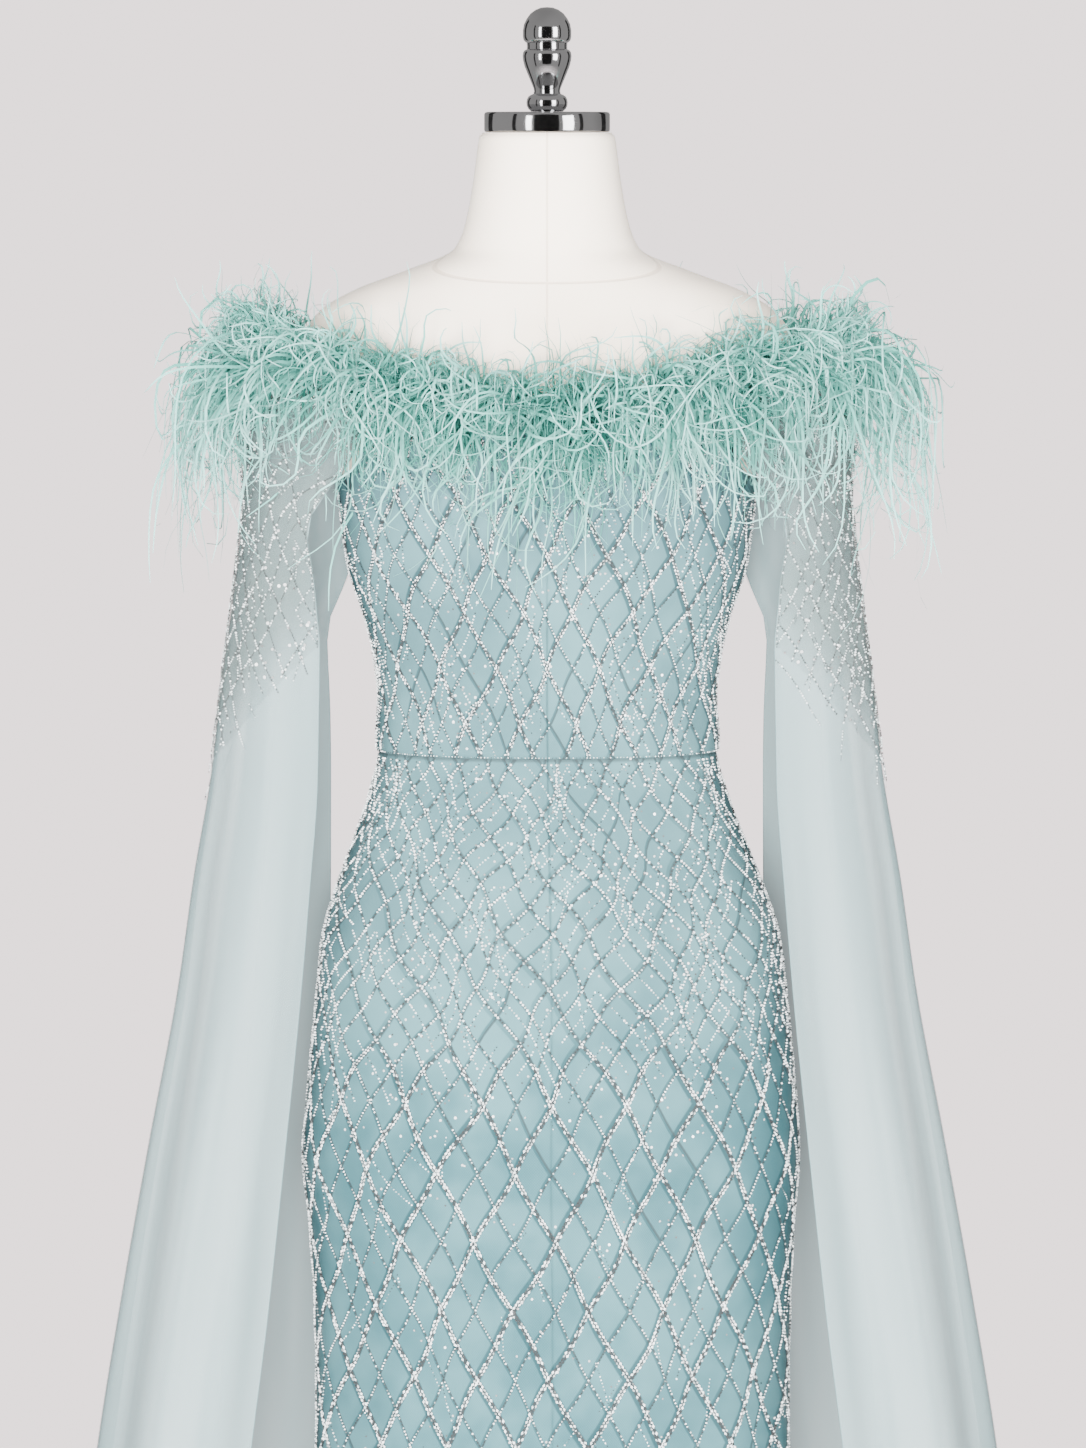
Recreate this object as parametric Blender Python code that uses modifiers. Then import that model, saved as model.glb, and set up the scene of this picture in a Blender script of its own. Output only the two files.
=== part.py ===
"""Off-shoulder evening gown with cape sleeves and a feather trim, on a limbless dress form.

Metres, +Z up. The front faces -Y, and the origin is the middle of the stand's underside.
Left and right are the wearer's, so left is +X. A turn is an angle round the figure, from 0 at
the centre front, through a quarter turn at the left side, to half a turn at the centre back.
"""

import math
import random
from collections import namedtuple

import bmesh
import bpy
from mathutils import Vector

COLLECTION = "off_shoulder_gown"
QUARTER = math.pi / 2

# Walls and the spaces between pieces
GAP = 0.0003  # at a seam, and where one piece rests on another
NET_WALL = 0.0015  # beaded net with its lining
CHIFFON_WALL = 0.0010
EASE = 0.0009  # between the form and the gown
TOP_EASE = 0.0008  # how much further the bodice stands off the form along its top edge
TOP_EASE_RISE = 0.0500
BINDING_EASE = 0.0008  # between the bodice and the feather binding, which is straight in height

# Heights above the floor
FORM_BOTTOM = 0.7566
BODICE_HEM = 1.0560
SKIRT_TOP = 1.0660  # tucked up inside the bodice hem
SLEEVE_HEM = 0.0600
HEM_LIFT_START = 1.0948  # the bodice springs outwards below this to lie over the skirt
UNDERARM = 1.2600
BODICE_ABOVE_BINDING = 0.0040

# Ring shape and how finely it is cut
SQUARENESS = 2.2  # 2 is an ellipse, and more is fuller at the corners
COLUMNS_A_QUARTER = 8
SLANTED_ROWS = 4  # of the bodice, between its top edge and the level rows below
LEVEL_ROWS_TOP = 1.2376

# The figure's line inside the gown. Above the hem lines it is the dress form itself, and below
# the form it is the skirt's fall. Front and back are depths from the axis, and sway moves the
# ring sideways.
Ring = namedtuple("Ring", "height half_width front back sway")
FIGURE = (
    Ring(0.0150, 0.2030, 0.1780, 0.1860, 0.0030),
    Ring(0.1000, 0.1965, 0.1690, 0.1770, 0.0030),
    Ring(0.2100, 0.1885, 0.1580, 0.1665, 0.0030),
    Ring(0.3300, 0.1810, 0.1470, 0.1555, 0.0032),
    Ring(0.4500, 0.1752, 0.1370, 0.1450, 0.0036),
    Ring(0.5672, 0.1730, 0.1280, 0.1360, 0.0040),
    Ring(0.6456, 0.1742, 0.1230, 0.1310, 0.0040),
    Ring(0.7070, 0.1777, 0.1195, 0.1290, 0.0034),
    Ring(0.7566, 0.1815, 0.1170, 0.1280, 0.0028),
    Ring(0.8084, 0.1780, 0.1160, 0.1280, 0.0034),
    Ring(0.8646, 0.1725, 0.1140, 0.1260, 0.0034),
    Ring(0.9179, 0.1665, 0.1110, 0.1210, 0.0028),
    Ring(0.9483, 0.1577, 0.1085, 0.1160, 0.0022),
    Ring(0.9853, 0.1437, 0.1035, 0.1075, 0.0016),
    Ring(1.0223, 0.1302, 0.0965, 0.0970, 0.0008),
    Ring(1.0560, 0.1222, 0.0905, 0.0880, 0.0004),
    Ring(1.0948, 0.1224, 0.0890, 0.0840, 0.0000),
    Ring(1.1280, 0.1262, 0.0935, 0.0850, 0.0000),
    Ring(1.1540, 0.1322, 0.1000, 0.0870, 0.0000),
    Ring(1.1747, 0.1392, 0.1070, 0.0890, 0.0000),
    Ring(1.1954, 0.1452, 0.1140, 0.0920, 0.0000),
    Ring(1.2376, 0.1505, 0.1220, 0.0970, 0.0000),
    Ring(1.2700, 0.1540, 0.1195, 0.1000, 0.0000),
    Ring(1.3000, 0.1620, 0.1120, 0.1015, 0.0000),
    Ring(1.3150, 0.1678, 0.1072, 0.1006, 0.0000),
    Ring(1.3300, 0.1740, 0.1020, 0.0990, 0.0000),
    Ring(1.3500, 0.1798, 0.0935, 0.0945, 0.0000),
    Ring(1.3660, 0.1775, 0.0850, 0.0885, 0.0000),
    Ring(1.3810, 0.1665, 0.0765, 0.0815, 0.0000),
    Ring(1.3960, 0.1410, 0.0690, 0.0745, 0.0000),
    Ring(1.4100, 0.1040, 0.0630, 0.0685, 0.0000),
    Ring(1.4256, 0.0685, 0.0585, 0.0625, 0.0000),
    Ring(1.4448, 0.0602, 0.0560, 0.0585, 0.0000),
    Ring(1.4750, 0.0545, 0.0530, 0.0540, 0.0000),
    Ring(1.5000, 0.0512, 0.0505, 0.0505, 0.0000),
    Ring(1.5080, 0.0500, 0.0495, 0.0495, 0.0000),
    Ring(1.5110, 0.0475, 0.0470, 0.0470, 0.0000),
)

# The left cape sleeve: a C in plan, open towards the body. The edges and the outer fold are
# distances from the centre line, the depths lie before and behind it, and fold is the height
# of the soft folds.
Cape = namedtuple("Cape", "height front_edge outer back_edge front_depth back_depth fold")
CAPE = (
    Cape(0.0600, 0.2650, 0.3880, 0.1860, 0.1480, 0.1650, 0.0085),
    Cape(0.3000, 0.2400, 0.3620, 0.1760, 0.1340, 0.1480, 0.0075),
    Cape(0.5420, 0.2120, 0.3310, 0.1660, 0.1180, 0.1300, 0.0060),
    Cape(0.6456, 0.1990, 0.3145, 0.1620, 0.1100, 0.1200, 0.0052),
    Cape(0.7625, 0.1870, 0.2940, 0.1600, 0.1000, 0.1080, 0.0043),
    Cape(0.8760, 0.1760, 0.2730, 0.1590, 0.0880, 0.0940, 0.0034),
    Cape(0.9630, 0.1690, 0.2610, 0.1580, 0.0780, 0.0820, 0.0026),
    Cape(1.0350, 0.1640, 0.2490, 0.1580, 0.0700, 0.0720, 0.0018),
    Cape(1.0760, 0.1635, 0.2440, 0.1585, 0.0660, 0.0680, 0.0014),
    Cape(1.1400, 0.1630, 0.2360, 0.1610, 0.0610, 0.0630, 0.0008),
    Cape(1.1590, 0.1650, 0.2335, 0.1550, 0.0600, 0.0620, 0.0006),
    Cape(1.1850, 0.1675, 0.2300, 0.1435, 0.0600, 0.0620, 0.0004),
    Cape(1.2290, 0.1740, 0.2250, 0.1400, 0.0630, 0.0640, 0.0002),
    Cape(1.2750, 0.1600, 0.2200, 0.1380, 0.0690, 0.0680, 0.0000),
    Cape(1.3600, 0.1300, 0.2170, 0.1300, 0.0740, 0.0720, 0.0000),
)
CAPE_COLUMNS = 28
CAPE_STRIPS = ("front", "outer_front", "outer_back", "back")
CAPE_NET_ROWS = 6
CAPE_ROWS_BELOW = 9
CAPE_HEAD_DROP = 0.11  # the section has turned from the binding's curve into the C by here
CAPE_FRONT_TURN = math.radians(40)
CAPE_BACK_TURN = math.radians(140)
FOLD_COUNT = 5.5
FOLD_STRAY = 0.035  # how far the folds wander from even spacing
FOLD_STRAY_WAVES = 1.6
BROAD_FOLD_SHARE = 0.57  # broader folds among them: their count and height, as shares
BROAD_FOLD_HEIGHT = 0.45
FOLD_PHASES = (0.8, 0.6, 2.1)
ALONG_STEP = 0.01  # for reading which way a section runs
NET_EDGE_SIDE = 1.1385  # the net's slanting lower edge, at the sleeve's two edges
NET_EDGE_OUTER = 1.0480  # and at its outer fold
NET_EDGE_POWER = 1.2

# The feather trim's binding, a strip round the neckline
BINDING_HEIGHT = 0.0200
BINDING_THICKNESS = 0.0040
BINDING_FRONT = 1.3090
BINDING_SIDE = 1.3550
BINDING_BACK = 1.3300
BINDING_RISE_POWER = 1.6  # how late the neckline rises towards the shoulders
BINDING_HALF_WIDTH = 0.2195
BINDING_DEPTH = 0.1120
BINDING_SPREAD = 0.25  # how far it leans out as it goes down, where it leaves the body
LEAVES_BODY = math.radians(25)
FREE_OF_BODY = math.radians(60)
ARMHOLE_TURN = math.radians(72)  # from the middle of the front or back to where the dip is deepest

# Feather locks: three rows on the binding. A row's locks start at one slope and bend to
# another, and their length changes round the neckline.
LOCK_STEP = math.radians(5.4)
SHOULDER_FROM = math.radians(50)
SHOULDER_TO = math.radians(130)
LockRow = namedtuple("LockRow", "column first_slope last_slope")
LOCK_ROWS = (
    LockRow("up", math.radians(62), math.radians(12)),
    LockRow("out", math.radians(14), math.radians(-44)),
    LockRow("down", math.radians(-36), math.radians(-76)),
)
Reach = namedtuple("Reach", "turn up out down")
REACHES = (
    Reach(0.0, 0.050, 0.078, 0.108),
    Reach(math.radians(30), 0.046, 0.072, 0.090),
    Reach(math.radians(55), 0.052, 0.078, 0.112),
    Reach(math.radians(80), 0.064, 0.070, 0.132),
    Reach(math.radians(100), 0.064, 0.070, 0.132),
    Reach(math.radians(125), 0.052, 0.078, 0.115),
    Reach(math.radians(150), 0.046, 0.072, 0.095),
    Reach(math.radians(180), 0.048, 0.074, 0.100),
)
LOCK_SWAY = math.radians(10)
SWAY_WAVES = (5, 9)  # round the neckline
SWAY_PHASES = (1.3, 2.1)  # from one row to the next
SWAY_SHARES = (1.0, 0.5)
LOCK_LIFT = math.radians(4)  # the most that one lock's slope strays from its row's
LOCK_TAPER = (0.85, 0.55)  # width at the two rings between a lock's root and its tip
LOCK_WIDTH = 0.014
CELL_SHARE = 0.9  # the most of its cell on the binding that a lock's width takes
LOCK_DEPTH = 0.0075
SHORTEST_LOCK = 0.82  # as a share of the reach
SEED = 11

# Turned and standing parts: (radius, height) down the outer side
CAP_PROFILE = (
    (0.0000, 1.5263),
    (0.0440, 1.5263),
    (0.0463, 1.5245),
    (0.0463, 1.5131),
    (0.0448, 1.5113),
    (0.0000, 1.5113),
)
FINIAL_PROFILE = (
    (0.0000, 1.6030),
    (0.0085, 1.6010),
    (0.0150, 1.5945),
    (0.0178, 1.5860),
    (0.0174, 1.5790),
    (0.0150, 1.5772),
    (0.0148, 1.5722),
    (0.0176, 1.5708),
    (0.0178, 1.5650),
    (0.0150, 1.5560),
    (0.0112, 1.5465),
    (0.0096, 1.5420),
    (0.0098, 1.5400),
    (0.0138, 1.5375),
    (0.0152, 1.5330),
    (0.0140, 1.5285),
    (0.0120, 1.5266),
    (0.0000, 1.5266),
)
BASE_RADIUS = 0.150
BASE_PROFILE = (
    (0.0000, 0.0220),
    (0.0220, 0.0220),
    (0.0300, 0.0180),
    (0.1300, 0.0140),
    (BASE_RADIUS, 0.0080),
    (BASE_RADIUS, 0.0000),
    (0.0000, 0.0000),
)
BASE_TOP = 0.0220
POLE_RADIUS = 0.0125
TURNED_SIDES = 24
BROAD_TURNED_SIDES = 32

# Colour, roughness and metallic value
LOOKS = {
    "linen": ((0.88, 0.85, 0.81), 0.85, 0.0),
    "chrome": ((0.80, 0.81, 0.82), 0.08, 1.0),
    "stand": ((0.75, 0.75, 0.76), 0.30, 1.0),
    "beaded_net": ((0.44, 0.60, 0.61), 0.60, 0.0),
    "sleeve_net": ((0.52, 0.62, 0.62), 0.55, 0.0),
    "chiffon": ((0.62, 0.70, 0.71), 0.70, 0.0),
    "feather": ((0.34, 0.58, 0.54), 0.80, 0.0),
}


def smooth_step(value):
    """0 below 0, 1 above 1, and an even rise between."""
    value = min(1.0, max(0.0, value))
    return value * value * (3 - 2 * value)


def read(table, place, column):
    """A column's value at a place along the table's first column, without overshoot."""
    places = [row[0] for row in table]
    values = [getattr(row, column) for row in table]
    place = min(places[-1], max(places[0], place))
    low = max(i for i in range(len(table) - 1) if places[i] <= place)

    def slope(i):
        if i == 0 or i == len(table) - 1:
            return 0.0
        before = (values[i] - values[i - 1]) / (places[i] - places[i - 1])
        after = (values[i + 1] - values[i]) / (places[i + 1] - places[i])
        if before * after <= 0:
            return 0.0
        return 2 * before * after / (before + after)

    span = places[low + 1] - places[low]
    s = (place - places[low]) / span
    rise = smooth_step(s)
    leave = s * (1 - s) ** 2 * span * slope(low)
    arrive = s * s * (s - 1) * span * slope(low + 1)
    return values[low] + rise * (values[low + 1] - values[low]) + leave + arrive


def fuller(value, squareness=SQUARENESS):
    """A sine or cosine reshaped for a ring that is fuller than an ellipse."""
    return math.copysign(abs(value) ** (2 / squareness), value)


def figure_point(height, turn, outset=0.0):
    """A point on the figure's line, moved outwards by outset."""
    ahead = math.cos(turn)
    depth = read(FIGURE, height, "front" if ahead > 0 else "back")
    width = read(FIGURE, height, "half_width")
    x = (width + outset) * fuller(math.sin(turn)) + read(FIGURE, height, "sway")
    return Vector((x, -(depth + outset) * fuller(ahead), height))


def turn_from_front(turn):
    """A turn on either side brought between 0 at the front and half a turn at the back."""
    return abs((turn + math.pi) % (2 * math.pi) - math.pi)


def binding_height(turn):
    """The height of the middle of the feather binding."""
    middle = BINDING_FRONT if math.cos(turn) > 0 else BINDING_BACK
    return middle + (BINDING_SIDE - middle) * abs(math.sin(turn)) ** BINDING_RISE_POWER


def binding_point(turn, drop, outset):
    """A point on the binding: on the bodice before and behind, and round the arms at the sides."""
    height = binding_height(turn) - drop
    from_middle = min(turn_from_front(turn), math.pi - turn_from_front(turn))
    free = smooth_step((from_middle - LEAVES_BODY) / (FREE_OF_BODY - LEAVES_BODY))
    off_form = EASE + NET_WALL + TOP_EASE + BINDING_EASE + BINDING_THICKNESS / 2
    on_body = figure_point(height, turn, off_form + outset)
    spread = outset + BINDING_SPREAD * drop
    x = (BINDING_HALF_WIDTH + spread) * math.sin(turn)
    y = -(BINDING_DEPTH + spread) * math.cos(turn)
    return on_body.lerp(Vector((x, y, height)), free)


def bodice_top(turn):
    """The bodice's top edge: behind the binding, and dipping under the arms."""
    from_middle = min(turn_from_front(turn), math.pi - turn_from_front(turn))
    dip = smooth_step((from_middle - LEAVES_BODY) / (ARMHOLE_TURN - LEAVES_BODY))
    covered = binding_height(turn) + BODICE_ABOVE_BINDING
    return covered + (UNDERARM - covered) * dip


def make_material(name):
    colour, roughness, metallic = LOOKS[name]
    material = bpy.data.materials.new(name)
    material.use_nodes = True
    shader = material.node_tree.nodes["Principled BSDF"]
    shader.inputs["Base Color"].default_value = (*colour, 1.0)
    shader.inputs["Roughness"].default_value = roughness
    shader.inputs["Metallic"].default_value = metallic
    return material


def add_object(name, mesh, look):
    """One sub-part with a material of its own."""
    material = make_material(look)
    material.name = name
    mesh.materials.append(material)
    piece = bpy.data.objects.new(name, mesh)
    bpy.data.collections[COLLECTION].objects.link(piece)
    return piece


def finished_mesh(name, work):
    """The mesh of a finished bmesh, with every face split the same way."""
    bmesh.ops.triangulate(work, faces=work.faces, quad_method="FIXED")
    mesh = bpy.data.meshes.new(name)
    work.to_mesh(mesh)
    work.free()
    return mesh


def add_grid(work, rows):
    """A surface through rows of points that run down, each from front to back."""
    lines = [[work.verts.new(point) for point in row] for row in rows]
    for upper, lower in zip(lines, lines[1:]):
        for i in range(len(upper) - 1):
            work.faces.new((upper[i], lower[i], lower[i + 1], upper[i + 1]))
    return lines


def add_shell(name, rows, look):
    """A chiffon or net wall whose outer face is the surface through the rows."""
    work = bmesh.new()
    add_grid(work, rows)
    piece = add_object(name, finished_mesh(name, work), look)
    solidify = piece.modifiers.new("wall", "SOLIDIFY")
    solidify.thickness = CHIFFON_WALL
    solidify.offset = -1.0
    solidify.use_even_offset = True
    return piece


def open_seams(rows):
    """Draws a panel's first and last columns half a gap back from the seam line."""
    for row in rows:
        row[0] = row[0] + (row[1] - row[0]).normalized() * GAP / 2
        row[-1] = row[-1] + (row[-2] - row[-1]).normalized() * GAP / 2
    return rows


def add_panel(name, outer_rows, inner_rows, look="beaded_net"):
    """A panel of cloth, lofted between its outer and inner faces so that seams stay square."""
    work = bmesh.new()
    outer = add_grid(work, open_seams(outer_rows))
    inner = add_grid(work, open_seams(inner_rows)[::-1])[::-1]
    rim = (
        (outer[0], inner[0], False),
        (outer[-1], inner[-1], True),
        ([row[0] for row in outer], [row[0] for row in inner], True),
        ([row[-1] for row in outer], [row[-1] for row in inner], False),
    )
    for near, far, reverse in rim:
        for i in range(len(near) - 1):
            corners = (near[i], near[i + 1], far[i + 1], far[i])
            work.faces.new(corners[::-1] if reverse else corners)
    return add_object(name, finished_mesh(name, work), look)


def panel_turns(start):
    return [start + QUARTER * i / COLUMNS_A_QUARTER for i in range(COLUMNS_A_QUARTER + 1)]


def bodice_rows(start, outset):
    """Rows of a bodice quarter's face. Its hem springs out over the top of the skirt."""
    level = [r.height for r in FIGURE if HEM_LIFT_START <= r.height <= LEVEL_ROWS_TOP][::-1]
    level += [SKIRT_TOP, BODICE_HEM]
    rows = [[] for _ in range(SLANTED_ROWS + len(level))]
    for turn in panel_turns(start):
        top = bodice_top(turn)
        spread = top - LEVEL_ROWS_TOP
        slanted = [top - spread * i / SLANTED_ROWS for i in range(SLANTED_ROWS)]
        for row, height in zip(rows, slanted + level):
            lift = (HEM_LIFT_START - height) / (HEM_LIFT_START - SKIRT_TOP)
            over_skirt = (NET_WALL + GAP) * smooth_step(lift)
            off_chest = TOP_EASE * smooth_step((height - LEVEL_ROWS_TOP) / TOP_EASE_RISE)
            row.append(figure_point(height, turn, outset + over_skirt + off_chest))
    return rows


def skirt_rows(start, outset):
    """Rows of a skirt quarter's face, from inside the bodice hem to the floor-length hem."""
    below = [ring.height for ring in FIGURE if ring.height <= BODICE_HEM]
    heights = [SKIRT_TOP] + below[::-1]
    turns = panel_turns(start)
    return [[figure_point(height, turn, outset) for turn in turns] for height in heights]


def cape_section(height, along):
    """A point on the left sleeve's C, before its folds. Along runs from front edge to back."""
    angle = math.pi * (along - 0.5)
    front = angle < 0
    inner = read(CAPE, height, "front_edge" if front else "back_edge")
    depth = read(CAPE, height, "front_depth" if front else "back_depth")
    outer = read(CAPE, height, "outer")
    x = inner + (outer - inner) * fuller(math.cos(angle))
    return Vector((x, depth * fuller(math.sin(angle)), height))


def cape_fold(height, along):
    """How far a soft fold stands out. The folds are uneven, and grow towards the hem."""
    stray, fine, broad = FOLD_PHASES
    uneven = along + FOLD_STRAY * math.sin(2 * math.pi * FOLD_STRAY_WAVES * along + stray)
    fold_turn = 2 * math.pi * FOLD_COUNT * uneven
    wave = math.sin(fold_turn + fine)
    wave += BROAD_FOLD_HEIGHT * math.sin(BROAD_FOLD_SHARE * fold_turn + broad)
    return read(CAPE, height, "fold") * wave


def cape_point(height, along, top):
    """A point on the left sleeve's outer face, at a height below its own top edge."""
    turn = CAPE_FRONT_TURN + (CAPE_BACK_TURN - CAPE_FRONT_TURN) * along
    head = binding_point(turn, binding_height(turn) - height, 0.0)
    fall = smooth_step((top - height) / CAPE_HEAD_DROP)
    here = cape_section(height, along)
    ahead = cape_section(height, along + ALONG_STEP)
    behind = cape_section(height, along - ALONG_STEP)
    run = (ahead - behind).normalized()
    outwards = Vector((run.y, -run.x, 0))
    return head.lerp(here, fall) + outwards * cape_fold(height, along) * fall


def cape_rows():
    """The left sleeve's grid. Its first rows end on the net's slanting edge."""
    rows = [[] for _ in range(CAPE_NET_ROWS + CAPE_ROWS_BELOW + 1)]
    for column in range(CAPE_COLUMNS + 1):
        along = column / CAPE_COLUMNS
        turn = CAPE_FRONT_TURN + (CAPE_BACK_TURN - CAPE_FRONT_TURN) * along
        top = binding_height(turn) - BINDING_HEIGHT / 2 - GAP
        slant = math.sin(math.pi * along) ** NET_EDGE_POWER
        net_edge = NET_EDGE_SIDE + (NET_EDGE_OUTER - NET_EDGE_SIDE) * slant
        for i, row in enumerate(rows):
            if i <= CAPE_NET_ROWS:
                height = top + (net_edge - top) * i / CAPE_NET_ROWS
            else:
                below = (i - CAPE_NET_ROWS) / CAPE_ROWS_BELOW
                height = net_edge + (SLEEVE_HEM - net_edge) * below
            inside = min(max(along, ALONG_STEP), 1 - ALONG_STEP)
            row.append(cape_point(height, inside, top))
    return rows


def row_normals(rows):
    """Outward directions at a grid's points, from their neighbours along and down."""
    normals = []
    for i, row in enumerate(rows):
        line = []
        for j in range(len(row)):
            along = row[min(j + 1, len(row) - 1)] - row[max(j - 1, 0)]
            down = rows[min(i + 1, len(rows) - 1)][j] - rows[max(i - 1, 0)][j]
            line.append(down.cross(along).normalized())
        normals.append(line)
    return normals


def moved_out(rows, normals, distance):
    """The rows again, moved along their outward directions."""
    return [
        [point + normal * distance for point, normal in zip(row, normal_row)]
        for row, normal_row in zip(rows, normals)
    ]


def mirrored(rows):
    """The same rows on the right, still running from front to back on the outer face."""
    return [[Vector((-p.x, p.y, p.z)) for p in reversed(row)] for row in rows]


def add_sleeves():
    """The two chiffon cape sleeves, and the beaded net that lies over their upper part.

    Each sleeve is one cut of chiffon. Its solid is made in four strips that run down it, because
    a C in one piece loses its hollow in collision.
    """
    chiffon = cape_rows()
    normals = row_normals(chiffon)
    normals[0] = [Vector((n.x, n.y, 0)).normalized() for n in normals[0]]
    lining = moved_out(chiffon, normals, -CHIFFON_WALL)
    net = moved_out(chiffon[: CAPE_NET_ROWS + 1], normals, GAP + CHIFFON_WALL)
    for side, shape in (("left", lambda rows: rows), ("right", mirrored)):
        for place, strip in enumerate(CAPE_STRIPS):
            first, last = (CAPE_COLUMNS * i // len(CAPE_STRIPS) for i in (place, place + 1))
            outer, inner = ([row[first : last + 1] for row in face] for face in (chiffon, lining))
            add_panel(f"sleeve_{side}_{strip}", shape(outer), shape(inner), "chiffon")
        add_shell(f"sleeve_net_{side}", shape(net), "sleeve_net")


def lock_sway(turn, row):
    """Locks lean sideways together in slow waves, so that neighbours never cross."""
    wave = 0.0
    for count, phase, share in zip(SWAY_WAVES, SWAY_PHASES, SWAY_SHARES):
        wave += share * math.sin(count * turn + phase * row)
    return LOCK_SWAY * wave / sum(SWAY_SHARES)


def lock_rings(root, turn, row, length, lift, width):
    """The rings and tip of one feather lock that bends down from its root."""
    step = math.radians(1)
    ahead = binding_point(turn + step, 0.0, 0.0)
    behind = binding_point(turn - step, 0.0, 0.0)
    side = Vector((ahead.x - behind.x, ahead.y - behind.y, 0)).normalized()
    outwards = Vector((side.y, -side.x, 0))
    sway = lock_sway(turn, LOCK_ROWS.index(row))
    stages = len(LOCK_TAPER) + 1
    place = root.copy()
    rings = []
    for i in range(stages):
        part = (i + 0.5) / stages
        slope = row.first_slope + (row.last_slope - row.first_slope) * part + lift
        lean = sway * part
        level = outwards * math.cos(lean) + side * math.sin(lean)
        heading = level * math.cos(slope) + Vector((0, 0, math.sin(slope)))
        place = place + heading * length / stages
        if i == stages - 1:
            return rings, place
        across = side * width / 2 * LOCK_TAPER[i]
        upwards = heading.cross(side).normalized() * LOCK_DEPTH / 2 * LOCK_TAPER[i]
        ring = (
            place - across + upwards,
            place - across - upwards,
            place + across - upwards,
            place + across + upwards,
        )
        rings.append(ring)


def add_lock(work, corners, turn, row, length, lift):
    """Raises a lock on one cell of the binding, whose face it takes the place of."""
    root = sum((corner.co for corner in corners), Vector()) / 4
    width = min(LOCK_WIDTH, CELL_SHARE * (corners[3].co - corners[0].co).length)
    rings, tip = lock_rings(root, turn, row, length, lift, width)
    lower = corners
    for ring in rings:
        upper = [work.verts.new(point) for point in ring]
        for i in range(4):
            j = (i + 1) % 4
            work.faces.new((lower[i], lower[j], upper[j], upper[i]))
        lower = upper
    end = work.verts.new(tip)
    for i in range(4):
        work.faces.new((lower[i], lower[(i + 1) % 4], end))


def add_feathers(name, start, stop, chance):
    """One stretch of the binding with its three rows of locks."""
    count = round((stop - start) / LOCK_STEP)
    half = BINDING_THICKNESS / 2
    levels = [BINDING_HEIGHT * (i / len(LOCK_ROWS) - 0.5) for i in range(len(LOCK_ROWS) + 1)]
    section = [(level, half) for level in levels] + [(levels[-1], -half), (levels[0], -half)]
    back_off = GAP / 2 / BINDING_HALF_WIDTH
    work = bmesh.new()
    stations = []
    for i in range(count + 1):
        turn = start + back_off + (stop - start - 2 * back_off) * i / count
        points = [binding_point(turn, drop, outset) for drop, outset in section]
        stations.append([work.verts.new(point) for point in points])
    for i, (near, far) in enumerate(zip(stations, stations[1:])):
        turn = start + (stop - start) * (i + 0.5) / count
        for j in range(len(section)):
            k = (j + 1) % len(section)
            corners = (near[j], near[k], far[k], far[j])
            if j < len(LOCK_ROWS):
                row = LOCK_ROWS[j]
                reach = read(REACHES, turn_from_front(turn), row.column)
                length = reach * chance.uniform(SHORTEST_LOCK, 1.0)
                lift = chance.uniform(-LOCK_LIFT, LOCK_LIFT)
                add_lock(work, corners, turn, row, length, lift)
            else:
                work.faces.new(corners)
    work.faces.new(stations[0][::-1])
    work.faces.new(stations[-1])
    return add_object(name, finished_mesh(name, work), "feather")


def add_torso():
    """The linen-covered form, closed at the neck and below the hips."""
    work = bmesh.new()
    turns = [QUARTER * i / COLUMNS_A_QUARTER for i in range(4 * COLUMNS_A_QUARTER)]
    heights = [ring.height for ring in reversed(FIGURE) if ring.height >= FORM_BOTTOM]
    rings = [[work.verts.new(figure_point(height, turn)) for turn in turns] for height in heights]
    for upper, lower in zip(rings, rings[1:]):
        for i in range(len(turns)):
            j = (i + 1) % len(turns)
            work.faces.new((upper[i], lower[i], lower[j], upper[j]))
    work.faces.new(rings[0])
    work.faces.new(rings[-1][::-1])
    mesh = finished_mesh("form_torso", work)
    mesh.shade_smooth()
    return add_object("form_torso", mesh, "linen")


def add_turned(name, profile, look, sides=TURNED_SIDES):
    """A turned piece from its profile, which runs down the outer side."""
    work = bmesh.new()
    verts = [work.verts.new((radius, 0, height)) for radius, height in profile]
    for a, b in zip(verts, verts[1:]):
        work.edges.new((a, b))
    mesh = bpy.data.meshes.new(name)
    work.to_mesh(mesh)
    work.free()
    piece = add_object(name, mesh, look)
    screw = piece.modifiers.new("turn", "SCREW")
    screw.steps = sides
    screw.render_steps = sides
    screw.use_merge_vertices = True
    screw.merge_threshold = 0.00001
    return piece


def add_stand():
    """The round weighted base, and the pole that carries the form."""
    add_turned("stand_base", BASE_PROFILE, "stand", BROAD_TURNED_SIDES)
    pole_bottom = BASE_TOP + GAP
    pole_top = FORM_BOTTOM - GAP
    work = bmesh.new()
    bmesh.ops.create_cone(
        work,
        cap_ends=True,
        segments=TURNED_SIDES,
        radius1=POLE_RADIUS,
        radius2=POLE_RADIUS,
        depth=pole_top - pole_bottom,
    )
    bmesh.ops.translate(work, verts=work.verts, vec=(0, 0, (pole_top + pole_bottom) / 2))
    add_object("stand_pole", finished_mesh("stand_pole", work), "stand")


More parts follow.
